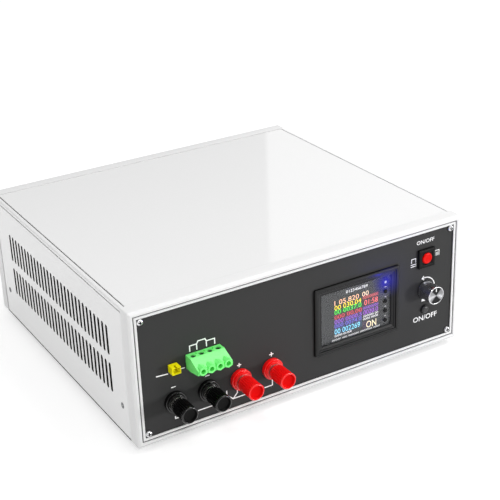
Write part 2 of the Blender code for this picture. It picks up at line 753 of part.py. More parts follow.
def guard_slots(bm, centre, low, high):
    """Adds the ring slots of one fan's guard, left whole along four diagonal spokes."""
    before = set(bm.verts)
    outer = FAN_BORE
    for ring in range(GUARD_RINGS):
        inner = outer - GUARD_SLOT_SHARE * FAN_BORE
        for quarter in range(4):
            spread = math.asin(GUARD_SPOKE / 2 / inner)
            start = math.radians(90 * quarter - 45) + spread
            end = math.radians(90 * quarter + 45) - spread
            arc_slot(bm, inner, outer, start, end, low, high)
        outer = inner - GUARD_RIB_SHARE * FAN_BORE
    added = [vert for vert in bm.verts if vert not in before]
    bmesh.ops.translate(bm, verts=added, vec=(*centre, 0))


def rear_panel():
    """Rear sheet with the punched fan guards and the inlet's cut-out."""
    bm = bmesh.new()
    add_plate(bm, RECESS_WIDTH, RECESS_HEIGHT, -REAR_THICKNESS, 0)
    item = make("rear_panel", bm, material("rear_black", (0.05, 0.05, 0.05), 0.5), REAR)
    low = -2 * REAR_THICKNESS
    high = REAR_THICKNESS
    holes = bmesh.new()
    for x, y in corner_points(SCREW_INSET) + inlet_screws():
        add_rod(holes, SCREW_HOLE, low, high, (x, y, 0), 8)
    for centre in fan_centres():
        for x, y in fan_screws(centre):
            add_rod(holes, SCREW_HOLE, low, high, (x, y, 0), 8)
        guard_slots(holes, centre, low, high)
    add_plate(holes, INLET_BODY + 2 * GAP, INLET_BODY + 2 * GAP, low, high, INLET_AT)
    cut(item, holes)
    return item


# Screen

WINDOW_FRONT = SCREEN_LEDGE - SCREEN_LIP - GAP
WINDOW_BACK = WINDOW_FRONT - WINDOW_THICKNESS
LCD_FRONT = WINDOW_BACK - GAP
SCREEN_BACK = min(-SCREEN_TUB_DEPTH, LCD_FRONT - LCD_THICKNESS)
BOARD_FRONT = SCREEN_BACK - GAP
WINDOW_WIDTH = TUB_WIDTH - 2 * SCREEN_TUB_WALL - 2 * GAP
WINDOW_HEIGHT = TUB_HEIGHT - 2 * SCREEN_TUB_WALL - 2 * GAP
KEY_BACK = WINDOW_BACK - GAP - KEY_FLANGE
SWITCH_TOP = KEY_BACK - KEY_TRAVEL - GAP


def key_places():
    """Screen-frame places of the lamp and the four keys under it."""
    return [(KEY_COLUMN, KEY_TOP - KEY_PITCH * k) for k in range(5)]


def screen_parts():
    """Stepped screen surround, clear window, display, its board with a lamp, and four keys."""
    at = (*SCREEN_AT, 0)
    bm = bmesh.new()
    chamfer = (SCREEN_PROUD - GAP) / 3
    faces = add_plate(bm, SCREEN_WIDTH, SCREEN_HEIGHT, GAP, SCREEN_PROUD - chamfer)
    front = [face for face in faces if face.normal.z > 0.5]
    bmesh.ops.inset_region(bm, faces=front, thickness=chamfer * 1.3, depth=chamfer, use_even_offset=True)
    black = material("screen_surround_black", (0.012, 0.012, 0.013), 0.35)
    bezel = make("screen_bezel", bm, black, FRONT, at)
    tub = bmesh.new()
    add_plate(tub, TUB_WIDTH, TUB_HEIGHT, -SCREEN_TUB_DEPTH, GAP * 2)
    fuse(bezel, tub)
    sight_width = SCREEN_WIDTH - 2 * SCREEN_BORDER
    sight_height = SCREEN_HEIGHT - 2 * SCREEN_BORDER + SIGHT_EXTRA
    slope = bmesh.new()
    ledge = SCREEN_LEDGE
    top = SCREEN_PROUD + GAP
    grow = SCREEN_SLOPE * (top - ledge) / (SCREEN_PROUD - ledge)
    sides = add_plate(slope, sight_width, sight_height, ledge - 0.5 * GAP, ledge)
    lid = [face for face in sides if face.normal.z > 0.5]
    bmesh.ops.inset_region(slope, faces=lid, thickness=-grow, depth=top - ledge, use_even_offset=True)
    bmesh.ops.recalc_face_normals(slope, faces=slope.faces[:])
    cut(bezel, slope)
    sight = bmesh.new()
    add_plate(sight, sight_width, sight_height, -2 * SCREEN_TUB_DEPTH, ledge)
    cut(bezel, sight)
    pocket = bmesh.new()
    add_plate(pocket, WINDOW_WIDTH + 2 * GAP, WINDOW_HEIGHT + 2 * GAP, -2 * SCREEN_TUB_DEPTH,
              WINDOW_FRONT + GAP)
    cut(bezel, pocket)

    bm = bmesh.new()
    add_plate(bm, WINDOW_WIDTH, WINDOW_HEIGHT, WINDOW_BACK, WINDOW_FRONT)
    clear = material("window_acrylic", (0.6, 0.62, 0.65), 0.05, 0, 0.35)
    window = make("screen_window", bm, clear, FRONT, at)
    holes = bmesh.new()
    for x, y in key_places()[1:]:
        add_rod(holes, KEY_RADIUS + RUNNING_GAP, 2 * WINDOW_BACK, -WINDOW_BACK, (x, y, 0), 12)
    cut(window, holes)

    bm = bmesh.new()
    add_plate(bm, LCD_WIDTH, LCD_HEIGHT, LCD_FRONT - LCD_THICKNESS, LCD_FRONT, (LCD_OFFSET, 0))
    make("lcd_panel", bm, material("lcd_glass", (0.1, 0.1, 0.11), 0.15), FRONT, at)

    bm = bmesh.new()
    margin = 2 * BOARD_MARGIN
    add_plate(bm, TUB_WIDTH + margin, TUB_HEIGHT + margin, BOARD_FRONT - BOARD_THICKNESS, BOARD_FRONT)
    board = make("display_board", bm, material("board_green", (0.01, 0.12, 0.04), 0.5), FRONT, at)
    switches = bmesh.new()
    for x, y in key_places()[1:]:
        size = 2 * KEY_RADIUS * KEY_FLANGE_SPREAD
        add_plate(switches, size, size, BOARD_FRONT - BOARD_THICKNESS / 2, SWITCH_TOP, (x, y))
    fuse(board, switches)

    x, y = key_places()[0]
    lamp = bmesh.new()
    add_rod(lamp, LED_RADIUS, BOARD_FRONT - BOARD_THICKNESS / 2, WINDOW_BACK - LED_RADIUS, (x, y, 0), 16)
    add_rod(lamp, LED_RADIUS, WINDOW_BACK - LED_RADIUS, WINDOW_BACK - GAP, (x, y, 0), 16, "Z",
            LED_RADIUS / 2)
    bmesh.ops.remove_doubles(lamp, verts=lamp.verts[:], dist=0.00001)
    inner = [face for face in lamp.faces if len(face.verts) > 4
             and abs(face.calc_center_median().z - WINDOW_BACK + LED_RADIUS) < GAP / 10]
    bmesh.ops.delete(lamp, geom=inner, context="FACES_ONLY")
    fuse(board, lamp)
    for number, (x, y) in enumerate(key_places()[1:], 1):
        front = WINDOW_FRONT + KEY_PROUD
        flange = KEY_RADIUS * KEY_FLANGE_SPREAD
        key = [(0, front), (KEY_RADIUS * KEY_CROWN, front),
               (KEY_RADIUS, front - KEY_RADIUS * (1 - KEY_CROWN)),
               (KEY_RADIUS, KEY_BACK + KEY_FLANGE), (flange, KEY_BACK + KEY_FLANGE), (flange, KEY_BACK),
               (0, KEY_BACK)]
        turned(f"screen_button_{number}", key, material("key_black", (0.01, 0.01, 0.01), 0.4), FRONT,
               (at[0] + x, at[1] + y, 0), steps=12)


# Controls

def power_switch():
    """Square black surround with a round red push button, snapped into the panel."""
    at = (*POWER_AT, 0)
    bm = bmesh.new()
    add_plate(bm, POWER_SIZE, POWER_SIZE, GAP, GAP + POWER_BEZEL)
    body = make("power_switch_body", bm, material("switch_nylon", (0.012, 0.012, 0.012), 0.4), FRONT, at)
    bevel(body, POWER_BEZEL / 4)
    housing = bmesh.new()
    add_plate(housing, POWER_BODY, POWER_BODY, -POWER_BODY_DEPTH, 2 * GAP)
    fuse(body, housing)
    pins = bmesh.new()
    for side in (-1, 1):
        spot = (side * POWER_BODY / 4, 0)
        add_plate(pins, POWER_BODY / 16, POWER_BODY / 4, -PIN_REACH * POWER_BODY_DEPTH,
                  GAP - POWER_BODY_DEPTH, spot)
    fuse(body, pins)
    front = GAP + POWER_BEZEL
    button_back = -2 * POWER_TRAVEL
    bore = bmesh.new()
    floor = button_back - POWER_TRAVEL - GAP
    add_rod(bore, POWER_BUTTON_RADIUS + RUNNING_GAP, floor, 2 * front, (0, 0, 0), 24)
    cut(body, bore)
    tip = front + POWER_BUTTON_PROUD
    soft = POWER_BUTTON_PROUD / 4
    radius = POWER_BUTTON_RADIUS
    shape = [(0, tip - soft / 2), (radius * 0.75, tip - soft / 2), (radius - soft, tip),
             (radius - soft / 3, tip - soft / 3), (radius, tip - soft), (radius, button_back),
             (0, button_back)]
    turned("power_button", shape, material("button_red", (0.75, 0.01, 0.01), 0.3), FRONT, at, steps=24)


def encoder_parts():
    """Rotary encoder on its threaded bushing, with its nut, the shaft that pushes in, and the knob."""
    at = (*KNOB_AT, 0)
    top = -PANEL_THICKNESS - GAP
    bm = bmesh.new()
    add_plate(bm, ENCODER_SIZE, ENCODER_SIZE, top - ENCODER_DEPTH, top)
    body = make("encoder_body", bm, material("encoder_zinc", (0.5, 0.5, 0.5), 0.35, 1.0), FRONT, at)
    bushing = bmesh.new()
    add_rod(bushing, BUSHING_RADIUS, top - ENCODER_DEPTH / 2, BUSHING_FRONT, (0, 0, 0), 16)
    fuse(body, bushing)
    nut = bmesh.new()
    add_hex(nut, NUT_FLAT, GAP, GAP + NUT_THICKNESS)
    fuse(body, nut)
    neck = SHAFT_RADIUS * 0.8
    tail = top - ENCODER_DEPTH / 2
    bore = bmesh.new()
    add_rod(bore, neck + RUNNING_GAP, tail - ENCODER_TRAVEL - GAP, 2 * BUSHING_FRONT, (0, 0, 0), 16)
    cut(body, bore)
    step = BUSHING_FRONT + ENCODER_TRAVEL + GAP
    shaft_tip = KNOB_FRONT - KNOB_RADIUS / 5
    shaft = [(0, shaft_tip), (SHAFT_RADIUS, shaft_tip), (SHAFT_RADIUS, step), (neck, step), (neck, tail),
             (0, tail)]
    turned("encoder_shaft", shaft, material("shaft_steel", (0.6, 0.6, 0.6), 0.25, 1.0), FRONT, at, steps=16)
    edge = KNOB_RADIUS / 12
    back = KNOB_STANDOFF
    recess = max(BUSHING_FRONT, NUT_THICKNESS + GAP) + ENCODER_TRAVEL + GAP
    nut_space = NUT_FLAT / math.cos(math.pi / 6) + GAP
    bore_radius = SHAFT_RADIUS + RUNNING_GAP
    knob = [(0, KNOB_FRONT - edge / 2), (KNOB_RADIUS - 2 * edge, KNOB_FRONT - edge / 2),
            (KNOB_RADIUS - 1.6 * edge, KNOB_FRONT), (KNOB_RADIUS - edge, KNOB_FRONT),
            (KNOB_RADIUS, KNOB_FRONT - edge), (KNOB_RADIUS, back + edge), (KNOB_RADIUS - edge / 2, back),
            (nut_space, back), (nut_space, recess), (bore_radius, recess), (bore_radius, shaft_tip + GAP),
            (0, shaft_tip + GAP)]
    anodised = material("knob_aluminium", (0.12, 0.12, 0.13), 0.35, 1.0)
    turned("tuning_knob", knob, anodised, FRONT, at, steps=26)


def start_control():
    """Small momentary push button, held in by its shoulder behind the panel, and its switch."""
    at = (*START_AT, 0)
    front = -PANEL_THICKNESS - GAP
    back = front - START_BODY_DEPTH
    wide = START_RADIUS + START_SHOULDER
    rest = front - GAP - START_STEM
    bm = bmesh.new()
    add_plate(bm, START_BODY, START_BODY, back, front)
    switch = make("start_switch", bm, material("start_switch_black", (0.012, 0.012, 0.012), 0.45), FRONT, at)
    bore = bmesh.new()
    add_rod(bore, wide + RUNNING_GAP, rest - START_TRAVEL - GAP, PANEL_THICKNESS, (0, 0, 0), 20)
    cut(switch, bore)
    pins = bmesh.new()
    for sx in (-1, 1):
        for sy in (-1, 1):
            spot = (sx * START_BODY / 3, sy * START_BODY / 5)
            add_plate(pins, PIN_SIZE, PIN_SIZE, PIN_REACH * back, back + START_TRAVEL, spot)
    fuse(switch, pins)
    soft = START_RADIUS / 4
    button = [(0, START_PROUD), (START_RADIUS - 2 * soft, START_PROUD - soft / 4),
              (START_RADIUS - soft / 2, START_PROUD - soft), (START_RADIUS, START_PROUD - 2 * soft),
              (START_RADIUS, front - GAP), (wide, front - GAP), (wide, rest), (0, rest)]
    turned("start_button", button, material("start_button_black", (0.015, 0.015, 0.015), 0.3), FRONT, at,
           steps=20)


# Connections

def pole_places():
    """Distance of each clamp from the terminal block's middle."""
    first = -TERMINAL_PITCH * (TERMINAL_POLES - 1) / 2
    return [first + TERMINAL_PITCH * k for k in range(TERMINAL_POLES)]


def terminal_parts():
    """Green screw terminal: flat top with clamp screws, sloping front and eight-sided wire barrels."""
    at = (*TERMINAL_AT, 0)
    half = TERMINAL_POLES * TERMINAL_PITCH / 2 + TERMINAL_END
    top = TERMINAL_HEIGHT
    nose = TERMINAL_REACH - BARREL_PROUD
    outline = [(GAP, 0), (TERMINAL_FLAT, 0), (nose, TERMINAL_NOSE_LOW), (nose, TERMINAL_NOSE_TOP),
               (TERMINAL_FLAT, top), (GAP, top)]
    bm = bmesh.new()
    outline_prism(bm, outline, -half, half)
    upright = Matrix.Rotation(math.radians(-90), 3, "Y")
    bmesh.ops.rotate(bm, verts=bm.verts[:], cent=(0, 0, 0), matrix=upright)
    block = make("terminal_block", bm, material("terminal_green", (0.05, 0.62, 0.12), 0.4), FRONT, at)
    tenon = bmesh.new()
    add_plate(tenon, TENON_WIDTH, TENON_HEIGHT, -2 * PANEL_THICKNESS, 2 * GAP, (0, top / 2))
    fuse(block, tenon)
    barrels = bmesh.new()
    start = TERMINAL_REACH - BARREL_LENGTH
    for x in pole_places():
        add_rod(barrels, BARREL_RADIUS, start, TERMINAL_REACH, (x, BARREL_HEIGHT, 0), 8)
    fuse(block, barrels)
    screw_top = top - CLAMP_SCREW_SUNK
    screw_low = screw_top - CLAMP_SCREW_LENGTH
    screw_out = TERMINAL_FLAT - CLAMP_SCREW_RADIUS - 2 * GAP
    holes = bmesh.new()
    for x in pole_places():
        add_rod(holes, CLAMP_SCREW_RADIUS + RUNNING_GAP, screw_low - GAP, 2 * top, (x, 0, screw_out), 12,
                "Y")
    cut(block, holes)
    wires = bmesh.new()
    wire_end = max(TERMINAL_REACH - WIRE_HOLE_DEPTH, TERMINAL_FLAT + GAP)
    for x in pole_places():
        add_rod(wires, WIRE_HOLE_RADIUS, wire_end, 2 * TERMINAL_REACH, (x, BARREL_HEIGHT, 0), 8)
    cut(block, wires)
    grooves = bmesh.new()
    groove = 2 * GAP
    for x in pole_places()[1:]:
        middle = x - TERMINAL_PITCH / 2
        add_box(grooves, (middle - groove, top - 2 * groove, 2 * groove),
                (middle + groove, top + groove, TERMINAL_FLAT / 2))
    cut(block, grooves)
    for number, x in enumerate(pole_places(), 1):
        bm = bmesh.new()
        add_rod(bm, CLAMP_SCREW_RADIUS, -CLAMP_SCREW_LENGTH / 2, CLAMP_SCREW_LENGTH / 2, sides=12, axis="Y")
        spot = (at[0] + x, at[1] + screw_top - CLAMP_SCREW_LENGTH / 2, screw_out)
        zinc = material("clamp_zinc", (0.6, 0.6, 0.6), 0.35, 1.0)
        screw = make(f"terminal_screw_{number}", bm, zinc, FRONT, spot)
        slot = bmesh.new()
        reach = 2 * CLAMP_SCREW_RADIUS
        add_box(slot, (-reach, CLAMP_SCREW_LENGTH / 2 - CLAMP_SLOT_WIDTH, -CLAMP_SLOT_WIDTH / 2),
                (reach, CLAMP_SCREW_LENGTH, CLAMP_SLOT_WIDTH / 2))
        cut(screw, slot)


def probe_parts():
    """Yellow two-pin header for the temperature probe, with a shroud round its pins."""
    at = (*PROBE_AT, 0)
    front = GAP + PROBE_REACH
    wall = 2 * PROBE_WALL
    floor = GAP + PROBE_FLOOR
    tail = -2 * PANEL_THICKNESS
    bm = bmesh.new()
    add_plate(bm, PROBE_WIDTH, PROBE_HEIGHT, GAP, front)
    header = make("probe_header", bm, material("header_yellow", (0.85, 0.68, 0.03), 0.4), FRONT, at)
    tenon = bmesh.new()
    add_plate(tenon, PROBE_WIDTH - wall, PROBE_HEIGHT - wall, tail, 2 * GAP)
    fuse(header, tenon)
    cavity = bmesh.new()
    add_plate(cavity, PROBE_WIDTH - wall, PROBE_HEIGHT - wall, floor, 2 * front)
    cut(header, cavity)
    for side in (-1, 1):
        pin = bmesh.new()
        add_plate(pin, PIN_SIZE, PIN_SIZE, 1.5 * tail, front - PROBE_WALL, (side * PIN_PITCH / 2, 0))
        fuse(header, pin)
    key = bmesh.new()
    add_plate(key, PROBE_WIDTH / 5, PROBE_HEIGHT, floor + 2 * PROBE_WALL, 2 * front, (0, PROBE_HEIGHT / 2))
    cut(header, key)


def rib_outline(radius, depth, ribs):
    """A circle of V grooves: the radius falls and rises once for each rib."""
    reaches = [radius if k % 2 == 0 else radius - depth for k in range(2 * ribs)]
    angles = [math.pi * k / ribs for k in range(2 * ribs)]
    return [(reach * math.cos(angle), reach * math.sin(angle)) for reach, angle in zip(reaches, angles)]


def binding_post(number, place_xy, plastic, colour, roughness):
    """Insulating collar, fixed stud with its nut, brass insert and ribbed cap of one binding post."""
    at = (*place_xy, 0)
    bore = STUD_RADIUS + GAP
    top = GAP + COLLAR_THICKNESS
    boss = top + COLLAR_BOSS_HEIGHT
    edge = COLLAR_THICKNESS / 6
    groove = COLLAR_RADIUS - 2.4 * edge
    collar = [(bore, boss), (COLLAR_BOSS_RADIUS, boss), (COLLAR_BOSS_RADIUS, top - edge),
              (groove, top - edge), (groove, top),
              (COLLAR_RADIUS - edge, top), (COLLAR_RADIUS, top - edge), (COLLAR_RADIUS, GAP),
              (COLLAR_BUSH_RADIUS, GAP), (COLLAR_BUSH_RADIUS, GAP - PANEL_THICKNESS),
              (bore, GAP - PANEL_THICKNESS)]
    mat = material(plastic, colour, roughness)
    turned(f"post_collar_{number}", collar, mat, FRONT, at, closed=True, steps=16)

    shoulder = SHOULDER_BASE + SHOULDER_THICKNESS
    stud_tip = CAP_FRONT - CAP_RIM - 2 * CAP_DISH - 2 * GAP
    stud = [(0, stud_tip), (STUD_RADIUS, stud_tip), (STUD_RADIUS, shoulder), (SHOULDER_RADIUS, shoulder),
            (SHOULDER_RADIUS, SHOULDER_BASE), (STUD_RADIUS, SHOULDER_BASE), (STUD_RADIUS, -STUD_TAIL),
            (0, -STUD_TAIL)]
    metal = material("stud_nickel", (0.66, 0.64, 0.58), 0.22, 1.0)
    fixed = turned(f"post_stud_{number}", stud, metal, FRONT, at, steps=14)
    nut = bmesh.new()
    behind = -PANEL_THICKNESS - GAP
    add_hex(nut, NUT_FLAT, behind - POST_NUT_THICKNESS, behind)
    fuse(fixed, nut)

    insert_top = INSERT_BASE + INSERT_LENGTH
    flange_top = INSERT_BASE + SHOULDER_THICKNESS
    insert = [(bore, insert_top), (INSERT_RADIUS, insert_top), (INSERT_RADIUS, flange_top),
              (INSERT_FLANGE_RADIUS, flange_top), (INSERT_FLANGE_RADIUS, INSERT_BASE), (bore, INSERT_BASE)]
    turned(f"post_insert_{number}", insert, material("insert_brass", (0.7, 0.6, 0.35), 0.25, 1.0), FRONT, at,
           closed=True, steps=14)

    skirt = CAP_RADIUS - 1.5 * CAP_RIB_DEPTH
    rim_low = CAP_FRONT - CAP_RIM
    soft = CAP_RIM / 3
    cap = [(0, CAP_FRONT - CAP_DISH), (CAP_RADIUS * 0.6, CAP_FRONT - CAP_DISH * 0.8),
           (CAP_RADIUS - 2 * soft, CAP_FRONT), (CAP_RADIUS - soft, CAP_FRONT),
           (CAP_RADIUS, CAP_FRONT - soft),
           (CAP_RADIUS, rim_low), (skirt, rim_low - soft), (skirt, CAP_BASE), (0, CAP_BASE)]
    item = turned(f"post_cap_{number}", cap, mat, FRONT, at, steps=16)
    ribs = bmesh.new()
    outline_prism(ribs, rib_outline(CAP_RADIUS - CAP_RIB_DEPTH / 4, CAP_RIB_DEPTH, CAP_RIBS),
                  CAP_BASE + 2 * SHOULDER_THICKNESS, rim_low + soft / 2)
    fuse(item, ribs)
    hollow = bmesh.new()
    sleeve_end = max(insert_top + GAP, CAP_BASE + GAP)
    add_rod(hollow, INSERT_RADIUS + GAP, -CAP_BASE, sleeve_end, (0, 0, 0), 14)
    cut(item, hollow)
    stud_space = bmesh.new()
    add_rod(stud_space, bore, sleeve_end - GAP, stud_tip + GAP, (0, 0, 0), 14)
    cut(item, stud_space)


def binding_posts():
    """Two black posts on the left, two red ones on the right."""
    for number, spot in enumerate(post_places(), 1):
        if number <= POST_COUNT / 2:
            binding_post(number, spot, "post_black", (0.01, 0.01, 0.01), 0.25)
        else:
            binding_post(number, spot, "post_red", (0.62, 0.01, 0.012), 0.3)


# Electronics behind the panels

def main_board():
    """Control board with its storage capacitors, relays, inductor and a row of headers."""
    x0 = BOARD_LEFT
    y0 = BOARD_FRONT_Y
    low = FLOOR_TOP + BOARD_STANDOFF + GAP
    top = low + BOARD_THICKNESS
    bm = bmesh.new()
    add_box(bm, (x0, y0, low), (x0 + BOARD_WIDTH, y0 + BOARD_DEPTH, top))
    item = make("main_board", bm, material("board_green", (0.01, 0.12, 0.04), 0.5))
    sunk = low + BOARD_THICKNESS / 2
    tall = bmesh.new()
    for k in range(CAPACITOR_COUNT):
        across = CAPACITOR_FIRST + CAPACITOR_STEP * k
        spot = (x0 + BOARD_WIDTH * across, y0 + BOARD_DEPTH * CAPACITOR_ROW, 0)
        add_rod(tall, BOARD_WIDTH * CAPACITOR_RADIUS, sunk, top + BOARD_DEPTH * CAPACITOR_HEIGHT, spot, 16)
    for k in range(RELAY_COUNT):
        left = x0 + BOARD_WIDTH * (RELAY_FIRST + RELAY_STEP * k)
        add_box(tall, (left, y0 + BOARD_DEPTH * RELAY_FRONT, sunk),
                (left + BOARD_WIDTH * RELAY_WIDTH, y0 + BOARD_DEPTH * RELAY_BACK,
                 top + BOARD_DEPTH * RELAY_HEIGHT))
    spot = (x0 + BOARD_WIDTH * COIL_ACROSS, y0 + BOARD_DEPTH * COIL_ALONG, 0)
    add_rod(tall, BOARD_WIDTH * COIL_RADIUS, sunk, top + BOARD_DEPTH * COIL_HEIGHT, spot, 20)
    add_box(tall, (x0 + BOARD_WIDTH * HEADER_LEFT, y0 + BOARD_DEPTH * HEADER_FRONT, sunk),
            (x0 + BOARD_WIDTH * HEADER_RIGHT, y0 + BOARD_DEPTH * HEADER_BACK,
             top + BOARD_DEPTH * HEADER_HEIGHT))
    fuse(item, tall)


def heatsink():
    """Extruded aluminium sink in line with the fans, with a bare shelf for the transistors."""
    low = FLOOR_TOP + SINK_STANDOFF + GAP
    top = low + SINK_BASE
    front = SINK_REAR - SINK_LENGTH
    bm = bmesh.new()
    add_box(bm, (SINK_LEFT, front, low), (SINK_LEFT + SINK_WIDTH, SINK_REAR, top))
    item = make("heatsink", bm, material("sink_aluminium", (0.7, 0.71, 0.72), 0.4, 1.0))
    fins = bmesh.new()
    pitch = (SINK_WIDTH - FIN_THICKNESS - 2 * GAP) / (FIN_COUNT - 1)
    for k in range(FIN_COUNT):
        left = SINK_LEFT + GAP + pitch * k
        add_box(fins, (left, front + SINK_SHELF, low + SINK_BASE / 2),
                (left + FIN_THICKNESS, SINK_REAR - GAP, top + FIN_HEIGHT))
    fuse(item, fins)
    pitch = SINK_WIDTH / TRANSISTOR_COUNT
    bm = bmesh.new()
    for k in range(TRANSISTOR_COUNT):
        middle = SINK_LEFT + pitch * (k + 0.5)
        add_box(bm, (middle - TRANSISTOR_WIDTH / 2, front + 4 * GAP, top + GAP),
                (middle + TRANSISTOR_WIDTH / 2, front + 4 * GAP + TRANSISTOR_LENGTH,
                 top + GAP + TRANSISTOR_THICKNESS))
    bar = make("transistor_bar", bm, material("transistor_epoxy", (0.02, 0.02, 0.02), 0.5))
    clamp = bmesh.new()
    depth = TRANSISTOR_LENGTH / 3
    middle = front + 4 * GAP + TRANSISTOR_LENGTH / 2
    low = top + GAP + TRANSISTOR_THICKNESS * 0.8
    add_box(clamp, (SINK_LEFT + depth, middle - depth / 2, low),
            (SINK_LEFT + SINK_WIDTH - depth, middle + depth / 2, low + TRANSISTOR_THICKNESS))
    fuse(bar, clamp)


def power_supply():
    """Enclosed supply module on its own standoffs, with a row of terminals at the front."""
    low = FLOOR_TOP + BOARD_STANDOFF + GAP
    front = SUPPLY_REAR - SUPPLY_LENGTH
    ledge = SUPPLY_LENGTH / 10
    bm = bmesh.new()
    add_box(bm, (SUPPLY_LEFT, front + ledge, low),
            (SUPPLY_LEFT + SUPPLY_WIDTH, SUPPLY_REAR, low + SUPPLY_HEIGHT))
    item = make("power_supply", bm, material("supply_aluminium", (0.6, 0.6, 0.6), 0.4, 1.0))
    bevel(item, SHEET / 2)
    strip = bmesh.new()
    add_box(strip, (SUPPLY_LEFT + ledge / 2, front, low),
            (SUPPLY_LEFT + SUPPLY_WIDTH - ledge / 2, front + 2 * ledge, low + SUPPLY_HEIGHT / 3))
    fuse(item, strip)


def fan_blade(bm, count, low, high):
    """Adds swept blades: each turns as it rises and grows from the hub to the tip."""
    rows = 2
    columns = 3
    root = FAN_HUB * BLADE_ROOT
    for blade in range(count):
        start = 2 * math.pi * blade / count
        grid = []
        for j in range(columns + 1):
            radius = root + (BLADE_TIP - root) * j / columns
            sweep = BLADE_SWEEP * (j / columns) ** 1.5
            line = []
            for i in range(rows + 1):
                rise = i / rows
                angle = start + sweep + BLADE_TWIST * rise - BLADE_CAMBER * math.sin(math.pi * rise)
                line.append(bm.verts.new((radius * math.cos(angle), radius * math.sin(angle),
                                          low + (high - low) * rise)))
            grid.append(line)
        for first, second in zip(grid, grid[1:]):
            for i in range(rows):
                bm.faces.new((first[i], second[i], second[i + 1], first[i + 1]))


def fans():
    """Two axial fans behind the rear panel's guards, each a frame with a hub and a bladed rotor."""
    front = -REAR_THICKNESS - GAP
    back = front - FAN_DEPTH
    hub_top = front - FAN_DEPTH * FAN_PLATE
    for number, (x, y) in enumerate(fan_centres(), 1):
        at = (x, y, 0)
        bm = bmesh.new()
        add_plate(bm, FAN_SIZE, FAN_SIZE, back, front)
        black = material("fan_frame_black", (0.02, 0.02, 0.02), 0.5)
        frame = make(f"fan_frame_{number}", bm, black, REAR, at)
        step = frame.modifiers.new("corners", "BEVEL")
        step.width = FAN_SIZE * FAN_CORNER
        step.segments = 1
        step.limit_method = "ANGLE"
        bore = bmesh.new()
        add_rod(bore, FAN_BORE, 2 * back, FAN_DEPTH, (0, 0, 0), 32)
        for sx, sy in fan_screws((0, 0)):
            add_rod(bore, SCREW_HOLE, 2 * back, FAN_DEPTH, (sx, sy, 0), 8)
        cut(frame, bore)
        spider = bmesh.new()
        add_rod(spider, FAN_HUB, hub_top, front - GAP, (0, 0, 0), 20)
        fuse(frame, spider)
        reach = FAN_BORE * ARM_OVERLAP
        width = FAN_HUB / 8
        for quarter in range(2):
            arm = bmesh.new()
            add_box(arm, (-reach, -width, hub_top + GAP), (reach, width, front - 2 * GAP))
            slant = Matrix.Rotation(math.radians(45 + 90 * quarter), 3, "Z")
            bmesh.ops.rotate(arm, verts=arm.verts[:], matrix=slant)
            fuse(frame, arm)
        low = back + FAN_DEPTH * FAN_PLATE
        high = hub_top - RUNNING_GAP
        bm = bmesh.new()
        fan_blade(bm, FAN_BLADES, low + GAP, high - FAN_DEPTH * BLADE_CLEAR)
        satin = material("fan_rotor_black", (0.02, 0.02, 0.02), 0.45)
        rotor = make(f"fan_rotor_{number}", bm, satin, REAR, at)
        sheet = rotor.modifiers.new("blade", "SOLIDIFY")
        sheet.thickness = BLADE_THICKNESS
        sheet.offset = 0
        hub = bmesh.new()
        add_rod(hub, FAN_HUB, low, high, (0, 0, 0), 20)
        fuse(rotor, hub)


def mains_inlet():
    """Flanged appliance inlet with three blades in its socket."""
    at = (*INLET_AT, 0)
    front = GAP + INLET_FLANGE
    ear = INLET_HEIGHT / 4
    half = INLET_EARS / 2
    tall = INLET_HEIGHT / 2
    body_half = INLET_BODY / 2 + 2 * GAP
    outline = [(-half, -ear / 2), (-half + ear / 2, -ear), (-body_half, -tall), (body_half, -tall),
               (half - ear / 2, -ear), (half, -ear / 2), (half, ear / 2), (half - ear / 2, ear),
               (body_half, tall), (-body_half, tall), (-half + ear / 2, ear), (-half, ear / 2)]
    bm = bmesh.new()
    outline_prism(bm, outline, GAP, front)
    inlet = make("inlet_body", bm, material("inlet_nylon", (0.012, 0.012, 0.012), 0.45), REAR, at)
    block = bmesh.new()
    add_plate(block, INLET_BODY, INLET_BODY, front - INLET_DEPTH, 2 * GAP)
    fuse(inlet, block)
    width = SOCKET_WIDTH / 2
    height = SOCKET_HEIGHT / 2
    corner = SOCKET_CORNER
    socket_outline = [(-width, -height), (width, -height), (width, height - corner),
                      (width - corner, height),
                      (-width + corner, height), (-width, height - corner)]
    socket = bmesh.new()
    floor = front - SOCKET_DEPTH
    outline_prism(socket, socket_outline, floor, 2 * front)
    cut(inlet, socket)
    pin_low = front - PIN_REACH * INLET_DEPTH
    pin_high = front - SOCKET_DEPTH / 5
    rise = BLADE_PIN_HEIGHT / 2
    for x, y in ((-BLADE_PIN_SPACING, -rise), (BLADE_PIN_SPACING, -rise), (0, rise)):
        blade = bmesh.new()
        add_plate(blade, BLADE_PIN_WIDTH, BLADE_PIN_HEIGHT, pin_low, pin_high, (x, y))
        fuse(inlet, blade)
    ears = bmesh.new()
    for x, y in inlet_screws():
        spot = (x - INLET_AT[0], y - INLET_AT[1], 0)
        add_rod(ears, SCREW_HOLE, -front, 2 * front, spot, 8)
    cut(inlet, ears)
    sinks = bmesh.new()
    for x, y in inlet_screws():
        spot = (x - INLET_AT[0], y - INLET_AT[1], 0)
        add_rod(sinks, SCREW_HEAD_RADIUS + GAP, front - SCREW_HEAD_HEIGHT, 2 * front, spot, 12)
    cut(inlet, sinks)


bezel_frame("front_bezel", FRONT, FRONT_RECESS, PANEL_THICKNESS)
bezel_frame("rear_bezel", REAR, REAR_RECESS, REAR_THICKNESS)
top_cover()
base_tray()
rubber_feet()
front_panel()
rear_panel()
panel_screws()
screen_parts()
power_switch()
encoder_parts()
start_control()
terminal_parts()
probe_parts()
binding_posts()
main_board()
heatsink()
power_supply()
fans()
mains_inlet()
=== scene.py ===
import math

import bmesh
import bpy
import numpy as np
from mathutils import Matrix, Vector


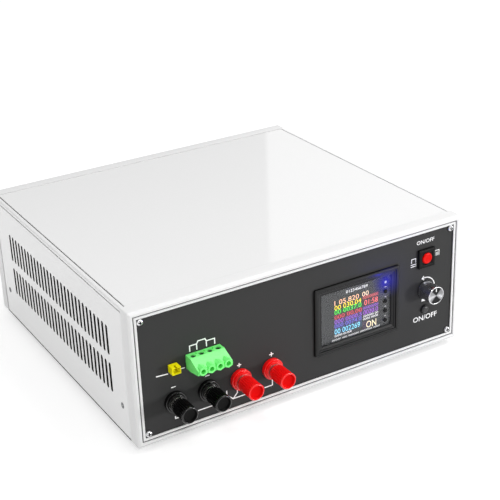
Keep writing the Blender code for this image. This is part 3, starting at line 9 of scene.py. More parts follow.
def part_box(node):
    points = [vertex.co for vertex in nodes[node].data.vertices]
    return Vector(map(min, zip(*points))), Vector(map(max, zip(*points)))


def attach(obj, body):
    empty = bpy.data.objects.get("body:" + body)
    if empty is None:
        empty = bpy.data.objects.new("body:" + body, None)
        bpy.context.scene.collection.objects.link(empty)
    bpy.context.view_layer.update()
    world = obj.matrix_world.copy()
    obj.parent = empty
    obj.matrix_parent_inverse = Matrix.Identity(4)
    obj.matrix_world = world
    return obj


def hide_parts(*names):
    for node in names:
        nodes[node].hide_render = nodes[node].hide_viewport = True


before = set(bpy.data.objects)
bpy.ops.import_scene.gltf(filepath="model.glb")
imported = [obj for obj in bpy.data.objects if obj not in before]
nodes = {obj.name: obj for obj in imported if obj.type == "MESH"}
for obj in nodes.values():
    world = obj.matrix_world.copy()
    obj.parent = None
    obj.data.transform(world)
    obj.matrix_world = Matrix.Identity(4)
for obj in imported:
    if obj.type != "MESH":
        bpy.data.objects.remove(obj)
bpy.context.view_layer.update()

# Camera. The instrument is seen from its front left and from above, through a long lens, as in a
# catalogue picture. The place and the three directions come from a pinhole fit to the case's edges.
camera = bpy.data.cameras.new("camera")
camera.lens = 86.51
camera.sensor_width = 36.0
camera_stand = bpy.data.objects.new("camera", camera)
bpy.context.scene.collection.objects.link(camera_stand)
ahead = Vector((0.45603679, 0.78345412, -0.42217305)).normalized()
across = Vector((0.85561634, -0.51647848, -0.03421502)).normalized()
camera_turn = Matrix((across, across.cross(ahead), -ahead)).transposed().to_4x4()
camera_stand.matrix_world = Matrix.Translation((-0.40534, -0.73547, 0.46156)) @ camera_turn
bpy.context.scene.camera = camera_stand
bpy.context.scene.view_settings.view_transform = "Standard"


# Studio. A plain pale table under an even sky, with a large lamp above the right and one at the left. A
# small lamp in front makes the sparks on glossy plastic, and one low at the right throws the knobs'
# shadows to the left on the panel.
def linear(hexcode, alpha=1.0):
    """An sRGB hex colour as linear red, green, blue and alpha."""
    parts = np.array([int(hexcode[k:k + 2], 16) for k in (1, 3, 5)]) / 255
    straight = np.where(parts <= 0.04045, parts / 12.92, ((parts + 0.055) / 1.055) ** 2.4)
    return (*straight.tolist(), alpha)


def add(tree, kind, settings=None, **links):
    """Adds a node, sets its properties or input values, and joins sockets to its inputs. An input goes by
    its name or its number, which is written _0, _1 and so on among the links."""
    node = tree.nodes.new(kind)
    for name, value in (settings or {}).items():
        if isinstance(name, int) or name in node.inputs:
            node.inputs[name].default_value = value
        else:
            setattr(node, name, value)
    for name, socket in links.items():
        tree.links.new(socket, node.inputs[int(name[1:]) if name[0] == "_" else name.replace("_", " ")])
    return node


def new_finish(name, hexcode, roughness, metallic=0.0, specular=0.5, **values):
    """A named Principled material with uniform values set on the shader's own sockets."""
    finish = bpy.data.materials.new(name)
    finish.use_nodes = True
    shader = finish.node_tree.nodes["Principled BSDF"]
    shader.inputs["Base Color"].default_value = linear(hexcode)
    shader.inputs["Roughness"].default_value = roughness
    shader.inputs["Metallic"].default_value = metallic
    shader.inputs["Specular IOR Level"].default_value = specular
    for socket, value in values.items():
        shader.inputs[socket.replace("_", " ")].default_value = value
    return finish


def lay_grain(finish, pale, deep, grain_mm, height_mm=0.0, rough=None, stretch=(1, 1, 1)):
    """Lays noise of a real grain size over a finish: colour between two hex values, a bump, and a
    roughness range. stretch divides the grain size along X, Y and Z, for drawn or brushed metal."""
    tree = finish.node_tree
    shader = tree.nodes["Principled BSDF"]
    place = add(tree, "ShaderNodeTexCoord")
    scale = Vector([1000.0 / grain_mm / s for s in stretch])
    turn = add(tree, "ShaderNodeMapping", {"Scale": scale}, Vector=place.outputs["Object"])
    noise = add(tree, "ShaderNodeTexNoise", {"Scale": 1.0, "Detail": 2.0}, Vector=turn.outputs["Vector"])
    tint = add(tree, "ShaderNodeMix", {"data_type": "RGBA", 6: linear(deep), 7: linear(pale)},
               Factor=noise.outputs["Fac"])
    tree.links.new(tint.outputs[2], shader.inputs["Base Color"])
    if rough:
        gloss = add(tree, "ShaderNodeMapRange", {"To Min": rough[0], "To Max": rough[1]},
                    Value=noise.outputs["Fac"])
        tree.links.new(gloss.outputs["Result"], shader.inputs["Roughness"])
    if height_mm:
        bump = add(tree, "ShaderNodeBump", {"Strength": 1.0, "Distance": height_mm / 1000},
                   Height=noise.outputs["Fac"])
        tree.links.new(bump.outputs["Normal"], shader.inputs["Normal"])
    return finish


def close_up(mesh):
    """Merges doubled points, so that seams and poles close, and turns the faces outwards."""
    bm = bmesh.new()
    bm.from_mesh(mesh)
    bmesh.ops.remove_doubles(bm, verts=bm.verts[:], dist=1e-7)
    bmesh.ops.dissolve_degenerate(bm, edges=bm.edges[:], dist=1e-8)
    bmesh.ops.recalc_face_normals(bm, faces=bm.faces[:])
    bm.to_mesh(mesh)
    bm.free()


def put_on(name, points, faces, finishes, body, which=None, tidy=True, stands_for=None):
    """Makes one piece from points and faces, already in the part's own frame, and hangs it on a body.
    which gives each face's finish, tidy closes its seams, and stands_for names the CAD node it replaces."""
    mesh = bpy.data.meshes.new(name)
    mesh.from_pydata(np.asarray(points).reshape(-1, 3).tolist(), [], np.asarray(faces).tolist())
    for finish in finishes:
        mesh.materials.append(finish)
    if which is not None:
        mesh.polygons.foreach_set("material_index", np.asarray(which, np.int32))
    if tidy:
        close_up(mesh)
    mesh.shade_smooth()
    mesh.set_sharp_from_angle(angle=math.radians(34))
    made = bpy.data.objects.new(name, mesh)
    bpy.context.scene.collection.objects.link(made)
    if body:
        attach(made, body)
    if stands_for:
        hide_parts(stands_for)
    return made


def net(rows, columns, wrap_rows=False, wrap_columns=False, start=0):
    """Quads over a grid of points numbered row by row, joined round where it wraps."""
    r = np.arange(rows if wrap_rows else rows - 1)
    c = np.arange(columns if wrap_columns else columns - 1)
    r, c = np.meshgrid(r, c, indexing="ij")
    r2 = (r + 1) % rows
    c2 = (c + 1) % columns
    quads = np.stack([r * columns + c, r * columns + c2, r2 * columns + c2, r2 * columns + c], -1)
    return quads.reshape(-1, 4) + start


def seen_directly(tree):
    """A value that is 1 for rays from the camera, reflections and clear pieces, and 0 for lighting."""
    rays = add(tree, "ShaderNodeLightPath").outputs
    first = add(tree, "ShaderNodeMath", {"operation": "MAXIMUM"}, _0=rays["Is Camera Ray"],
                _1=rays["Is Glossy Ray"])
    return add(tree, "ShaderNodeMath", {"operation": "MAXIMUM"}, _0=first.outputs[0],
               _1=rays["Is Transmission Ray"]).outputs[0]


def node_box(node):
    """A CAD node's lowest and highest corners at rest."""
    return np.array(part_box(node))


card = lay_grain(new_finish("matt_pale_card", "#CCCCCC", 0.9), "#CECECE", "#CACACA", 3.0)
card_tree = card.node_tree
card_shader = card_tree.nodes["Principled BSDF"]
# The card's own light makes it white to the camera. It stops under the case, a little way in from its
# edges and over 1.2 mm, so that a thin line of shade lies under the front.
CARD_LIGHT = 0.58
FADE = 0.0006
case_low, case_high = np.array([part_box("front_bezel")[0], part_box("rear_bezel")[1]])
case_middle = (case_low + case_high) / 2 * [1, 1, 0]
card_place = add(card_tree, "ShaderNodeTexCoord")
card_centred = add(card_tree, "ShaderNodeMapping", {"Location": tuple(-case_middle)},
                   Vector=card_place.outputs["Object"])
card_out = add(card_tree, "ShaderNodeVectorMath", {"operation": "ABSOLUTE"},
               _0=card_centred.outputs["Vector"])
card_axes = add(card_tree, "ShaderNodeSeparateXYZ", Vector=card_out.outputs["Vector"])
steps = []
for k, (axis, inside) in enumerate((("X", 0.0050), ("Y", 0.0088))):
    edge = (case_high[k] - case_low[k]) / 2 - inside
    steps.append(add(card_tree, "ShaderNodeMapRange", {"From Min": edge - FADE, "From Max": edge + FADE,
                                                       "To Max": CARD_LIGHT}, Value=card_axes.outputs[axis]))
outside = add(card_tree, "ShaderNodeMath", {"operation": "MAXIMUM"}, _0=steps[0].outputs["Result"],
              _1=steps[1].outputs["Result"])
card_light = add(card_tree, "ShaderNodeMath", {"operation": "MULTIPLY"}, _0=seen_directly(card_tree),
                 _1=outside.outputs[0])
card_shader.inputs["Emission Color"].default_value = (1, 1, 1, 1)
card_tree.links.new(card_light.outputs[0], card_shader.inputs["Emission Strength"])
floor = put_on("floor", [(-4, -4, 0), (4, -4, 0), (4, 4, 0), (-4, 4, 0)], [(0, 1, 2, 3)], [card], None,
               tidy=False)
world = bpy.data.worlds.new("white_sky")
bpy.context.scene.world = world
world.use_nodes = True
sky = world.node_tree
# The sky is even. Reflections also show the edge of a bright white screen that stands behind and beside
# the instrument, right of an upright plane with this normal, which halves the cover's glossy top. In
# front there is no screen.
SCREEN_NORMAL = (0.855, -0.5185, 0.0)
SKY_LIGHT, SKY_MIRRORED, SCREEN_MORE = 0.44, 0.42, 0.60
way = add(sky, "ShaderNodeTexCoord").outputs["Generated"]
screen_side = add(sky, "ShaderNodeVectorMath", {"operation": "DOT_PRODUCT", 1: SCREEN_NORMAL}, _0=way)
screen_edge = add(sky, "ShaderNodeMapRange", {"From Min": -0.002, "From Max": 0.002, "To Max": SCREEN_MORE},
                  Value=screen_side.outputs["Value"])
way_axes = add(sky, "ShaderNodeSeparateXYZ", Vector=way)
screen_end = add(sky, "ShaderNodeMapRange", {"From Min": -0.80, "From Max": -0.60},
                 Value=way_axes.outputs["Y"])
screen_glow = add(sky, "ShaderNodeMath", {"operation": "MULTIPLY_ADD", 2: SKY_MIRRORED},
                  _0=screen_edge.outputs["Result"], _1=screen_end.outputs["Result"])
even = add(sky, "ShaderNodeMix", {"data_type": "FLOAT", 2: SKY_LIGHT, 3: 1.0}, _0=seen_directly(sky))
mirror = add(sky, "ShaderNodeMix", {"data_type": "FLOAT"}, _2=even.outputs[0], _3=screen_glow.outputs[0],
             _0=add(sky, "ShaderNodeLightPath").outputs["Is Glossy Ray"])
sky.links.new(mirror.outputs[0], sky.nodes["Background"].inputs["Strength"])
sky.nodes["Background"].inputs["Color"].default_value = (1, 1, 1, 1)


def soft_lamp(name, where, aim, size, watts, mirrored=True):
    """A square area lamp at a place, turned to face another. mirrored says if reflections show it."""
    lamp = bpy.data.lights.new(name, "AREA")
    lamp.size = size
    lamp.energy = watts
    stand = bpy.data.objects.new(name, lamp)
    stand.location = where
    stand.rotation_euler = (Vector(aim) - Vector(where)).to_track_quat("-Z", "Y").to_euler()
    stand.visible_glossy = mirrored
    bpy.context.scene.collection.objects.link(stand)


soft_lamp("key_lamp", (1.0, -0.4, 1.9), (0, 0, 0.05), 1.2, 27.0)
soft_lamp("left_lamp", (-1.7, -0.2, 0.8), (0, 0, 0.05), 1.0, 8.0, False)
soft_lamp("spark_lamp", (-0.35, -1.1, 1.0), (0, -0.1, 0.05), 0.08, 3.0)
soft_lamp("low_front_lamp", (0.80, -1.00, 0.06), (0.02, -0.12, 0.06), 0.22, 8.5)

# Case cover. One sheet of 1.2 mm steel folded over the sides, powder-coated white, with two rows of
# punched ventilation slots in each side. Its inside, the slots' walls, the floors of the fine seams at
# the folds and a strip along its lower edge are painted near-black as painted shade, so that the slots
# read black and dark lines of shade run along the folds and the bottom.
powder_coat = lay_grain(new_finish("powder_coated_steel_white", "#EDEDED", 0.45, Coat_Weight=1.0,
                                   Coat_Roughness=0.03, specular=0.3),
                        "#F0F0F0", "#EAEAEA", 0.9, 0.0, (0.40, 0.50))
# Near-black painted shade, for the cover's inside, the slots' walls, the seam floors, the strip along the
# lower edge and the screws' cross recesses.
painted_shade_black = lay_grain(new_finish("painted_shade_dark_steel", "#060606", 0.8, specular=0.1), "#080808", "#040404",
                   1.5)
SHEET = 0.0012
SLOT_WIDE = 0.0034
SLOT_TALL = 0.0227
SLOT_PITCH = 0.00635
SLOT_COLUMNS = 29
SLOT_ROWS = (0.0428, 0.0719)
BEND = 0.0018
SEAM = 0.0010
SEAM_DEPTH = 0.0006
SHADE_STRIP = 0.0011
cover_low, cover_high = node_box("top_cover")


def slot_rings():
    """Offsets of a slot's cell corner to corner, and of its rounded outline, at matching angles.
    The outline is two half circles joined by straight sides. The cell's point at each angle is the
    circle's point pushed outwards until it meets the cell's edge."""
    half = np.linspace(0, math.pi, 9)
    angle = np.concatenate([half, half + math.pi])
    side = np.repeat([1.0, -1.0], len(half))
    straight = (SLOT_TALL - SLOT_WIDE) / 2
    across, up = np.cos(angle), np.sin(angle)
    slot = np.stack([across * SLOT_WIDE / 2, side * straight + up * SLOT_WIDE / 2], 1)
    longest = np.maximum(np.abs(across), np.abs(up))
    margin = (SLOT_ROWS[1] - SLOT_ROWS[0]) / 2 - straight
    cell = np.stack([across / longest * SLOT_PITCH / 2, side * straight + up / longest * margin], 1)
    return cell, slot


def cover_side(side):
    """One side of the cover: slot cells, the plain strips round them, and the inner face behind."""
    cell, slot = slot_rings()
    middle_y = (cover_low[1] + cover_high[1]) / 2
    ys = middle_y + (np.arange(SLOT_COLUMNS) - (SLOT_COLUMNS - 1) / 2) * SLOT_PITCH
    zs = np.array(SLOT_ROWS)
    centre = np.stack(np.meshgrid(ys, zs, indexing="ij"), -1).reshape(-1, 1, 1, 2)
    outer = cover_high[0]
    inner = outer - SHEET
    lip = 0.0001
    rings = np.stack([cell, slot + np.sign(slot) * lip, slot, slot, cell])
    depth = np.array([outer, outer, outer - lip, inner, inner])
    flat = centre + rings[None]
    x = np.broadcast_to(depth[None, :, None], flat.shape[:3])
    cells = np.concatenate([x[..., None], flat], -1)
    count = rings.shape[1]
    block = net(5, count, wrap_columns=True)
    faces = (block[None] + (np.arange(len(cells)) * 5 * count)[:, None, None]).reshape(-1, 4)
    # The slots' walls and the inner face take the painted shade.
    which = np.tile(np.repeat([0, 0, 1, 1], count), len(cells))
    points = cells.reshape(-1, 3)
    low_y, high_y = ys[0] - SLOT_PITCH / 2, ys[-1] + SLOT_PITCH / 2
    reach = cell[:, 1].max()
    low_z, high_z = zs[0] - reach, zs[1] + reach
    bend_z = cover_high[2] - BEND - 3 * SEAM
    shade_strip_z = cover_low[2] + SHADE_STRIP
    front, back = cover_low[1], cover_high[1]
    bars = np.array([(front, back, cover_low[2], shade_strip_z), (front, back, shade_strip_z, low_z),
                     (front, back, high_z, bend_z), (front, low_y, low_z, high_z),
                     (high_y, back, low_z, high_z)])
    corners = np.stack([bars[:, [0, 2]], bars[:, [1, 2]], bars[:, [1, 3]], bars[:, [0, 3]]], 1)
    for level, finish, turn in ((outer, 0, 1), (inner, 1, -1)):
        start = len(points)
        strip = np.concatenate([np.full((len(bars), 4, 1), level), corners], -1).reshape(-1, 3)
        points = np.concatenate([points, strip])
        quads = np.arange(4 * len(bars)).reshape(-1, 4)[:, ::turn] + start
        faces = np.concatenate([faces, quads])
        # The first strip, along the lower edge, takes the painted shade on the outside too, as a line of
        # shade at the bottom.
        which = np.concatenate([which, [1], np.full(len(bars) - 1, finish)])
    foot = cover_low[2]
    edge = np.array([(outer, front, foot), (inner, front, foot), (inner, back, foot), (outer, back, foot)])
    faces = np.concatenate([faces, [np.arange(4) + len(points)]])
    which = np.concatenate([which, [1]])
    points = np.concatenate([points, edge])
    if side < 0:
        points = points * [-1, 1, 1]
        faces = faces[:, ::-1]
    return points, faces, which


def fold_line(radius, depth):
    """Half the cover's outline across the case, from the side up over the fold: a quarter circle with
    a fine seam of the given depth before and after it, each listed by its four corners."""
    arc = np.linspace(0, math.pi / 2, 9)
    corner = cover_high[[0, 2]] - BEND
    bow = corner + radius * np.stack([np.cos(arc), np.sin(arc)], 1)
    away = np.array([3.0, 2.0, 1.9, 1.1, 1.0]) * SEAM
    sunk = np.array([0, 0, depth, depth, 0])
    before = corner + np.stack([radius - sunk, -away], 1)
    after = corner + np.stack([-away, radius - sunk], 1)[::-1]
    return np.concatenate([before, bow, after])


def cover_roof():
    """The top with both folds: the outer line swept from front to back, and the inner one."""
    faces, points, which = [], [], []
    for shrink, finish in ((0.0, 0), (SHEET, 1)):
        right = fold_line(BEND - shrink, SEAM_DEPTH if finish == 0 else 0.0)
        line = np.concatenate([right, (right * [-1, 1])[::-1]])
        ends = np.stack([np.full(len(line), cover_low[1]), np.full(len(line), cover_high[1])])
        grid = np.stack([np.stack([line[:, 0], y, line[:, 1]], 1) for y in ends])
        quads = net(2, len(line), start=len(points) * 2 * len(line))
        points.append(grid.reshape(-1, 3))
        faces.append(quads[:, ::-1] if finish == 0 else quads)
        mark = np.full(len(quads), finish)
        # The floors of the four fine seams take the painted shade, so they show as dark lines.
        if finish == 0:
            mark[[2, len(right) - 3, len(line) - len(right) + 2, len(line) - 4]] = 1
        which.append(mark)
    count = len(line)
    rim = np.arange(count - 1)
    front = np.stack([rim, rim + 1, rim + 1 + 2 * count, rim + 2 * count], 1)
    back = np.stack([rim + count, rim + 3 * count, rim + 1 + 3 * count, rim + 1 + count], 1)
    faces += [front, back]
    which.append(np.zeros(2 * len(rim), int))
    return np.concatenate(points), np.concatenate(faces), np.concatenate(which)


shells = [cover_side(1), cover_side(-1), cover_roof()]
starts = np.cumsum([0] + [len(shell[0]) for shell in shells[:-1]])
put_on("folded_cover", np.concatenate([shell[0] for shell in shells]),
       np.concatenate([shell[1] + start for shell, start in zip(shells, starts)]),
       [powder_coat, painted_shade_black], "instrument", np.concatenate([shell[2] for shell in shells]), tidy=False,
       stands_for="top_cover")

# Front and rear bezels. Two equal injection-moulded ABS frames in white, with a chamfered rim, a fine
# groove round the recess and a low inner lip. The groove's floor is painted grey as painted shade. They
# clamp the cover, the tray and both panels.
moulded_abs = lay_grain(new_finish("moulded_abs_white", "#E6E6E6", 0.32, specular=0.3), "#E8E8E8",
                        "#E4E4E4", 0.7, 0.003, (0.28, 0.38))
groove_shade_grey = lay_grain(new_finish("groove_painted_shade_grey", "#4A4B4C", 0.8, specular=0.2), "#505152", "#444546", 0.6)
panel_low, panel_high = node_box("front_panel")
face_y = panel_low[1]
rear_y = node_box("rear_panel")[1][1]
middle_z = (panel_low[2] + panel_high[2]) / 2
recess_wide, _, recess_tall = panel_high - panel_low


def on_face(across, up, out, rear=False):
    """Points of a panel's own frame, in metres from its middle and out of its face, in the part's
    frame. The rear panel is seen from behind, so its across runs the other way."""
    if rear:
        across, y = -across, rear_y + out
    else:
        y = face_y - out
    return np.stack(np.broadcast_arrays(across, y, middle_z + up), -1)


def seat(node):
    """A CAD node's middle in the panel's frame, across and up."""
    low, high = node_box(node)
    return (low[0] + high[0]) / 2, (low[2] + high[2]) / 2 - middle_z


def rounded_outline(wide, tall, radius):
    """Points round a rectangle whose corners are quarter circles, as two arrays."""
    quarter = np.linspace(0, math.pi / 2, 7)
    angle = (np.arange(4)[:, None] * math.pi / 2 + quarter).ravel()
    sign_x = np.repeat([1, -1, -1, 1], len(quarter))
    sign_y = np.repeat([1, 1, -1, -1], len(quarter))
    u = sign_x * (wide / 2 - radius) + radius * np.cos(angle)
    v = sign_y * (tall / 2 - radius) + radius * np.sin(angle)
    return u, v


def framed(profile, wide, tall, radius, at=(0, 0), rear=False):
    """Rows of points: each profile step (inset, height) is the rounded outline drawn in by the inset
    and lifted by the height."""
    rows = []
    for inset, out in profile:
        u, v = rounded_outline(wide - 2 * inset, tall - 2 * inset, max(radius - inset, 0.00005))
        rows.append(on_face(u + at[0], v + at[1], out, rear))
    return np.array(rows)


def eased(profile, radius=0.0002, steps=3):
    """The profile with each inner corner replaced by a short curve through it: a quadratic between
    two points a set distance before and after the corner."""
    points = np.array(profile, float)
    before, here, after = points[:-2], points[1:-1], points[2:]
    inward = before - here
    onward = after - here
    a = np.linalg.norm(inward, axis=1, keepdims=True)
    b = np.linalg.norm(onward, axis=1, keepdims=True)
    first = here + inward / a * np.minimum(radius, a * 0.45)
    last = here + onward / b * np.minimum(radius, b * 0.45)
    t = np.linspace(0, 1, steps + 1)[None, :, None]
    curve = (1 - t) ** 2 * first[:, None] + 2 * t * (1 - t) * here[:, None] + t ** 2 * last[:, None]
    return np.concatenate([points[:1], curve.reshape(-1, 2), points[-1:]])


wall = 0.0036
bezels = (("front_moulded_bezel", "front_bezel", 0.0015, False),
          ("rear_moulded_bezel", "rear_bezel", 0.0030, True))
for name, node, rim, rear in bezels:
    back = rim - 0.0110
    loop = [(0, back), (0, rim - 0.0011), (0.0020, rim), (wall - 0.0001, rim), (wall - 0.0001, rim - 0.0009),
            (wall + 0.0009, rim - 0.0009), (wall + 0.0009, rim - 0.0004), (wall + 0.0026, rim - 0.0004),
            (wall + 0.0026, 0.0003), (wall - 0.0003, 0.0003), (wall - 0.0003, back), (0, back)]
    profile = eased(loop)
    rows = framed(profile, recess_wide + 2 * wall, recess_tall + 2 * wall, 0.0012, rear=rear)[:-1]
    sunk = (profile[:-1, 1] < rim - 0.00082) & (profile[1:, 1] < rim - 0.00082)
    groove = sunk & (profile[:-1, 0] > wall - 0.0002) & (profile[:-1, 1] > rim - 0.00095)
    # The groove's floor faces take the grey painted shade.
    put_on(name, rows, net(*rows.shape[:2], True, True), [moulded_abs, groove_shade_grey], "instrument",
           np.repeat(groove.astype(int), rows.shape[1]), stands_for=node)

# Base tray and feet. The tray is folded from sheet steel, and its black is painted shade for the dark
# under the case and inside; it shows only from below and through the slots. The feet are pressed rubber
# with a hollow in the middle.
tray_painted_shade = lay_grain(new_finish("tray_black_painted_shade", "#0C0C0D", 0.5, specular=0.3), "#101011",
                        "#08080A", 1.2, 0.004, (0.42, 0.58))
rubber = lay_grain(new_finish("pressed_rubber_black", "#141414", 0.8), "#181818", "#101010", 0.5, 0.01)


def coat(finish, *names):
    """Gives CAD nodes one finish all over."""
    for name in names:
        mesh = nodes[name].data
        mesh.materials.clear()
        mesh.materials.append(finish)


coat(tray_painted_shade, "base_tray")


def spun(profile, centre, turns, ripple=None):
    """Rows of points: each profile step (radius, height out of the face) goes once round the centre.
    ripple, if given, changes the radius by a function of row and angle."""
    profile = np.asarray(profile, float)
    angle = np.arange(turns) * 2 * math.pi / turns
    radius = profile[:, :1]
    if ripple:
        radius = radius + ripple(profile, angle)
    across, up = centre[0] + radius * np.cos(angle), centre[1] + radius * np.sin(angle)
    return on_face(across, up, profile[:, 1:])


def turned(name, profile, centre, turns, finishes, body, node=None, which=None, ripple=None):
    """A piece spun from its profile. One that ends where it starts is a ring, and else both its ends lie
    on the axis. which gives the finish of each row of faces."""
    rows = spun(profile, centre, turns, ripple)
    ring = np.allclose(profile[0], profile[-1])
    if ring:
        rows = rows[:-1]
    if which is not None:
        which = np.repeat(which.astype(int), turns)
    put_on(name, rows, net(len(rows), turns, ring, True), finishes, body, which, stands_for=node)


for number in range(1, 5):
    low, high = node_box(f"rubber_foot_{number}")
    middle = (low + high) / 2
    reach = (high[0] - low[0]) / 2
    shape = eased([(0.0, high[2]), (reach, high[2]), (reach * 0.88, low[2]), (reach * 0.5, low[2]),
                   (reach * 0.5, high[2] / 2), (0.0, high[2] / 2)], 0.0006, 4)
    angle = np.arange(48) * 2 * math.pi / 48
    radius, z = shape[:, :1], shape[:, 1:]
    rows = np.stack(np.broadcast_arrays(middle[0] + radius * np.cos(angle),
                                        middle[1] + radius * np.sin(angle), z), -1)
    put_on(f"turned_foot_{number}", rows, net(len(rows), 48, False, True), [rubber], "instrument",
           stands_for=f"rubber_foot_{number}")

# Front and rear panels. Flat aluminium plates with a matt charcoal coat, whose fine tooth scatters the
# light, so they look even and almost black at a low angle.
charcoal_coat = lay_grain(new_finish("charcoal_coated_aluminium", "#3A3A3A", 0.55, specular=0.08),
                          "#3C3C3C", "#383838", 0.35, 0.004, (0.50, 0.62))
coat(charcoal_coat, "front_panel", "rear_panel")

# Screws. Pan-head steel screws with a cross recess: four hold the front panel, and the rest hold the
# rear panel, the fans, the mains inlet and the cover's sides. They are nickel-plated, and the cover's
# are zinc-plated and duller. Their cross recesses are painted near-black as painted shade.
bright_steel = lay_grain(new_finish("nickel_plated_steel", "#E4E4E5", 0.28, 1.0), "#EEEEEF", "#D6D6D8", 0.6,
                         0.0, (0.22, 0.36))
dull_steel = lay_grain(new_finish("zinc_plated_steel_dull", "#6A6C6E", 0.5, 0.6), "#747678", "#5E6062", 0.6)


def screw_head(radius, tall):
    """A domed disc pressed with a cross: height falls from the middle as a flat ellipse does, and drops
    to the recess floor where a point is within the cross's arms. Gives the finish of each face too: the
    recess floor takes painted shade."""
    r = np.linspace(0, radius, 18)[:, None]
    angle = np.arange(72)[None] * 2 * math.pi / 72
    u, v = r * np.cos(angle), r * np.sin(angle)
    dome = tall * np.sqrt(np.clip(1 - (r / radius) ** 2, 0, 1)) ** 0.7
    arm, half = radius * 0.60, radius * 0.17
    inside = (np.minimum(np.abs(u), np.abs(v)) < half) & (np.maximum(np.abs(u), np.abs(v)) < arm)
    finish = inside[:-1] & np.roll(inside, -1, 1)[:-1] & inside[1:]
    return u, v, np.where(inside, tall * 0.06, dome), finish.astype(int).ravel()


def drive(name, centre, out, radius=0.00235, tall=0.0015, rear=False, replace=None):
    """Seats a screw head on a panel."""
    u, v, h, finish = screw_head(radius, tall)
    rows = on_face(centre[0] + u, centre[1] + v, out + h, rear)
    put_on(name, rows, net(*u.shape, False, True), [bright_steel, painted_shade_black], "instrument", finish,
           stands_for=replace)


for number in range(1, 5):
    drive(f"panel_screw_head_{number}", seat(f"panel_screw_{number}"), 0.0003,
          replace=f"panel_screw_{number}")
corner_x, corner_z = recess_wide / 2 - 0.0052, recess_tall / 2 - 0.0052
rear_places = [(sx * corner_x, sz * corner_z) for sx in (-1, 1) for sz in (-1, 1)]
for number in (1, 2):
    fan_x = -seat(f"fan_frame_{number}")[0]
    rear_places += [(fan_x + sx * 0.03575, sz * 0.03575) for sx in (-1, 1) for sz in (-1, 1)]
for number, spot in enumerate(rear_places, 1):
    drive(f"rear_screw_head_{number}", spot, 0.0003, rear=True)
inlet_x = -seat("inlet_body")[0]
for number, side in enumerate((-1, 1), 1):
    drive(f"inlet_screw_head_{number}", (inlet_x + side * 0.0200, 0.0), 0.0011, 0.0023, 0.0013, rear=True)
cover_screw_ys = (face_y - 0.0015 + 0.0212, rear_y + 0.003 - 0.0212)
for number, (side, y) in enumerate([(side, y) for side in (-1, 1) for y in cover_screw_ys], 1):
    u, v, h, finish = screw_head(0.0023, 0.0004)
    x = side * (cover_high[0] - 0.0001 + h)
    put_on(f"cover_screw_head_{number}", np.stack([x, y + u, 0.0286 + v], -1), net(*u.shape, False, True),
           [dull_steel, painted_shade_black], "instrument", finish)

# Printed marks. White screen ink on the panel, about 0.04 mm thick: signs over the posts, the wiring
# lines between them and over the terminal block, the knob's arc with a dot under the knob, ON/OFF above
# the power switch and under the start button, and the signs for pushed in and out.
screen_ink = lay_grain(new_finish("white_screen_ink", "#FAFAFA", 0.6), "#FCFCFC", "#F2F2F2", 0.4)
INK = 0.00004


def mm(points):
    """Panel millimetres, from the recess's lower left corner, as metres from the panel's middle."""
    return (np.asarray(points, float) - [132.5, 47.5]) / 1000


def strokes(name, lines, wide_mm, finish, out=INK, body="instrument"):
    """Draws each polyline as quads of one width: every segment is pushed half the width to each side,
    and half a width past its ends, so that the corners close. Each lies a hair above the last, so that
    no two share a plane."""
    a = np.concatenate([mm(line)[:-1] for line in lines])
    b = np.concatenate([mm(line)[1:] for line in lines])
    along = (b - a) / np.linalg.norm(b - a, axis=1, keepdims=True) * wide_mm / 2000
    aside = along[:, ::-1] * [-1, 1]
    lift = INK / 20 * np.arange(len(a)) % (INK / 2)
    corners = np.stack([a - along - aside, b + along - aside, b + along + aside, a - along + aside], 1)
    put_on(name, on_face(corners[..., 0], corners[..., 1], out + lift[:, None]),
           np.arange(len(a) * 4).reshape(-1, 4), [finish], body, tidy=False)


knob_mm = (237.4, 46.1)
marks = [
    [(43.5, 9.6), (61.5, 9.6)], [(66.2, 17.0), (66.2, 13.6), (71.1, 9.4), (92.0, 9.4)],
    [(71.1, 9.4), (74.6, 13.2), (74.6, 15.6)], [(96.9, 9.4), (103.1, 9.4), (103.1, 13.6)],
    [(14.4, 46.2), (22.4, 45.6)], [(30.4, 46.4), (34.9, 46.2)], [(26.0, 11.0), (26.0, 9.6), (43.5, 9.6)],
    [(39.9, 57.2), (39.9, 61.1), (45.2, 61.1), (45.2, 57.2)],
    [(45.2, 61.1), (46.4, 63.0), (51.6, 63.0), (52.6, 61.1)],
    [(52.6, 57.2), (52.6, 61.1), (58.9, 61.1), (58.9, 57.2)],
]
strokes("wiring_marks", marks, 0.85, screen_ink)
signs = []
for x, plus in ((26.0, False), (52.0, False), (76.9, True), (102.9, True)):
    signs.append([(x - 1.3, 34.3), (x + 1.3, 34.3)])
    if plus:
        signs.append([(x, 33.0), (x, 35.6)])
strokes("post_signs", signs, 0.75, screen_ink)
sweep = np.radians(np.linspace(12, 104, 24))
arc = np.array(knob_mm) + 9.3 * np.stack([np.cos(sweep), np.sin(sweep)], 1)
strokes("knob_arc", [arc], 0.75, screen_ink)
strokes("knob_arrow", [[(236.2, 56.8), (234.7, 55.2), (236.5, 53.9)]], 0.65, screen_ink, INK * 1.5)


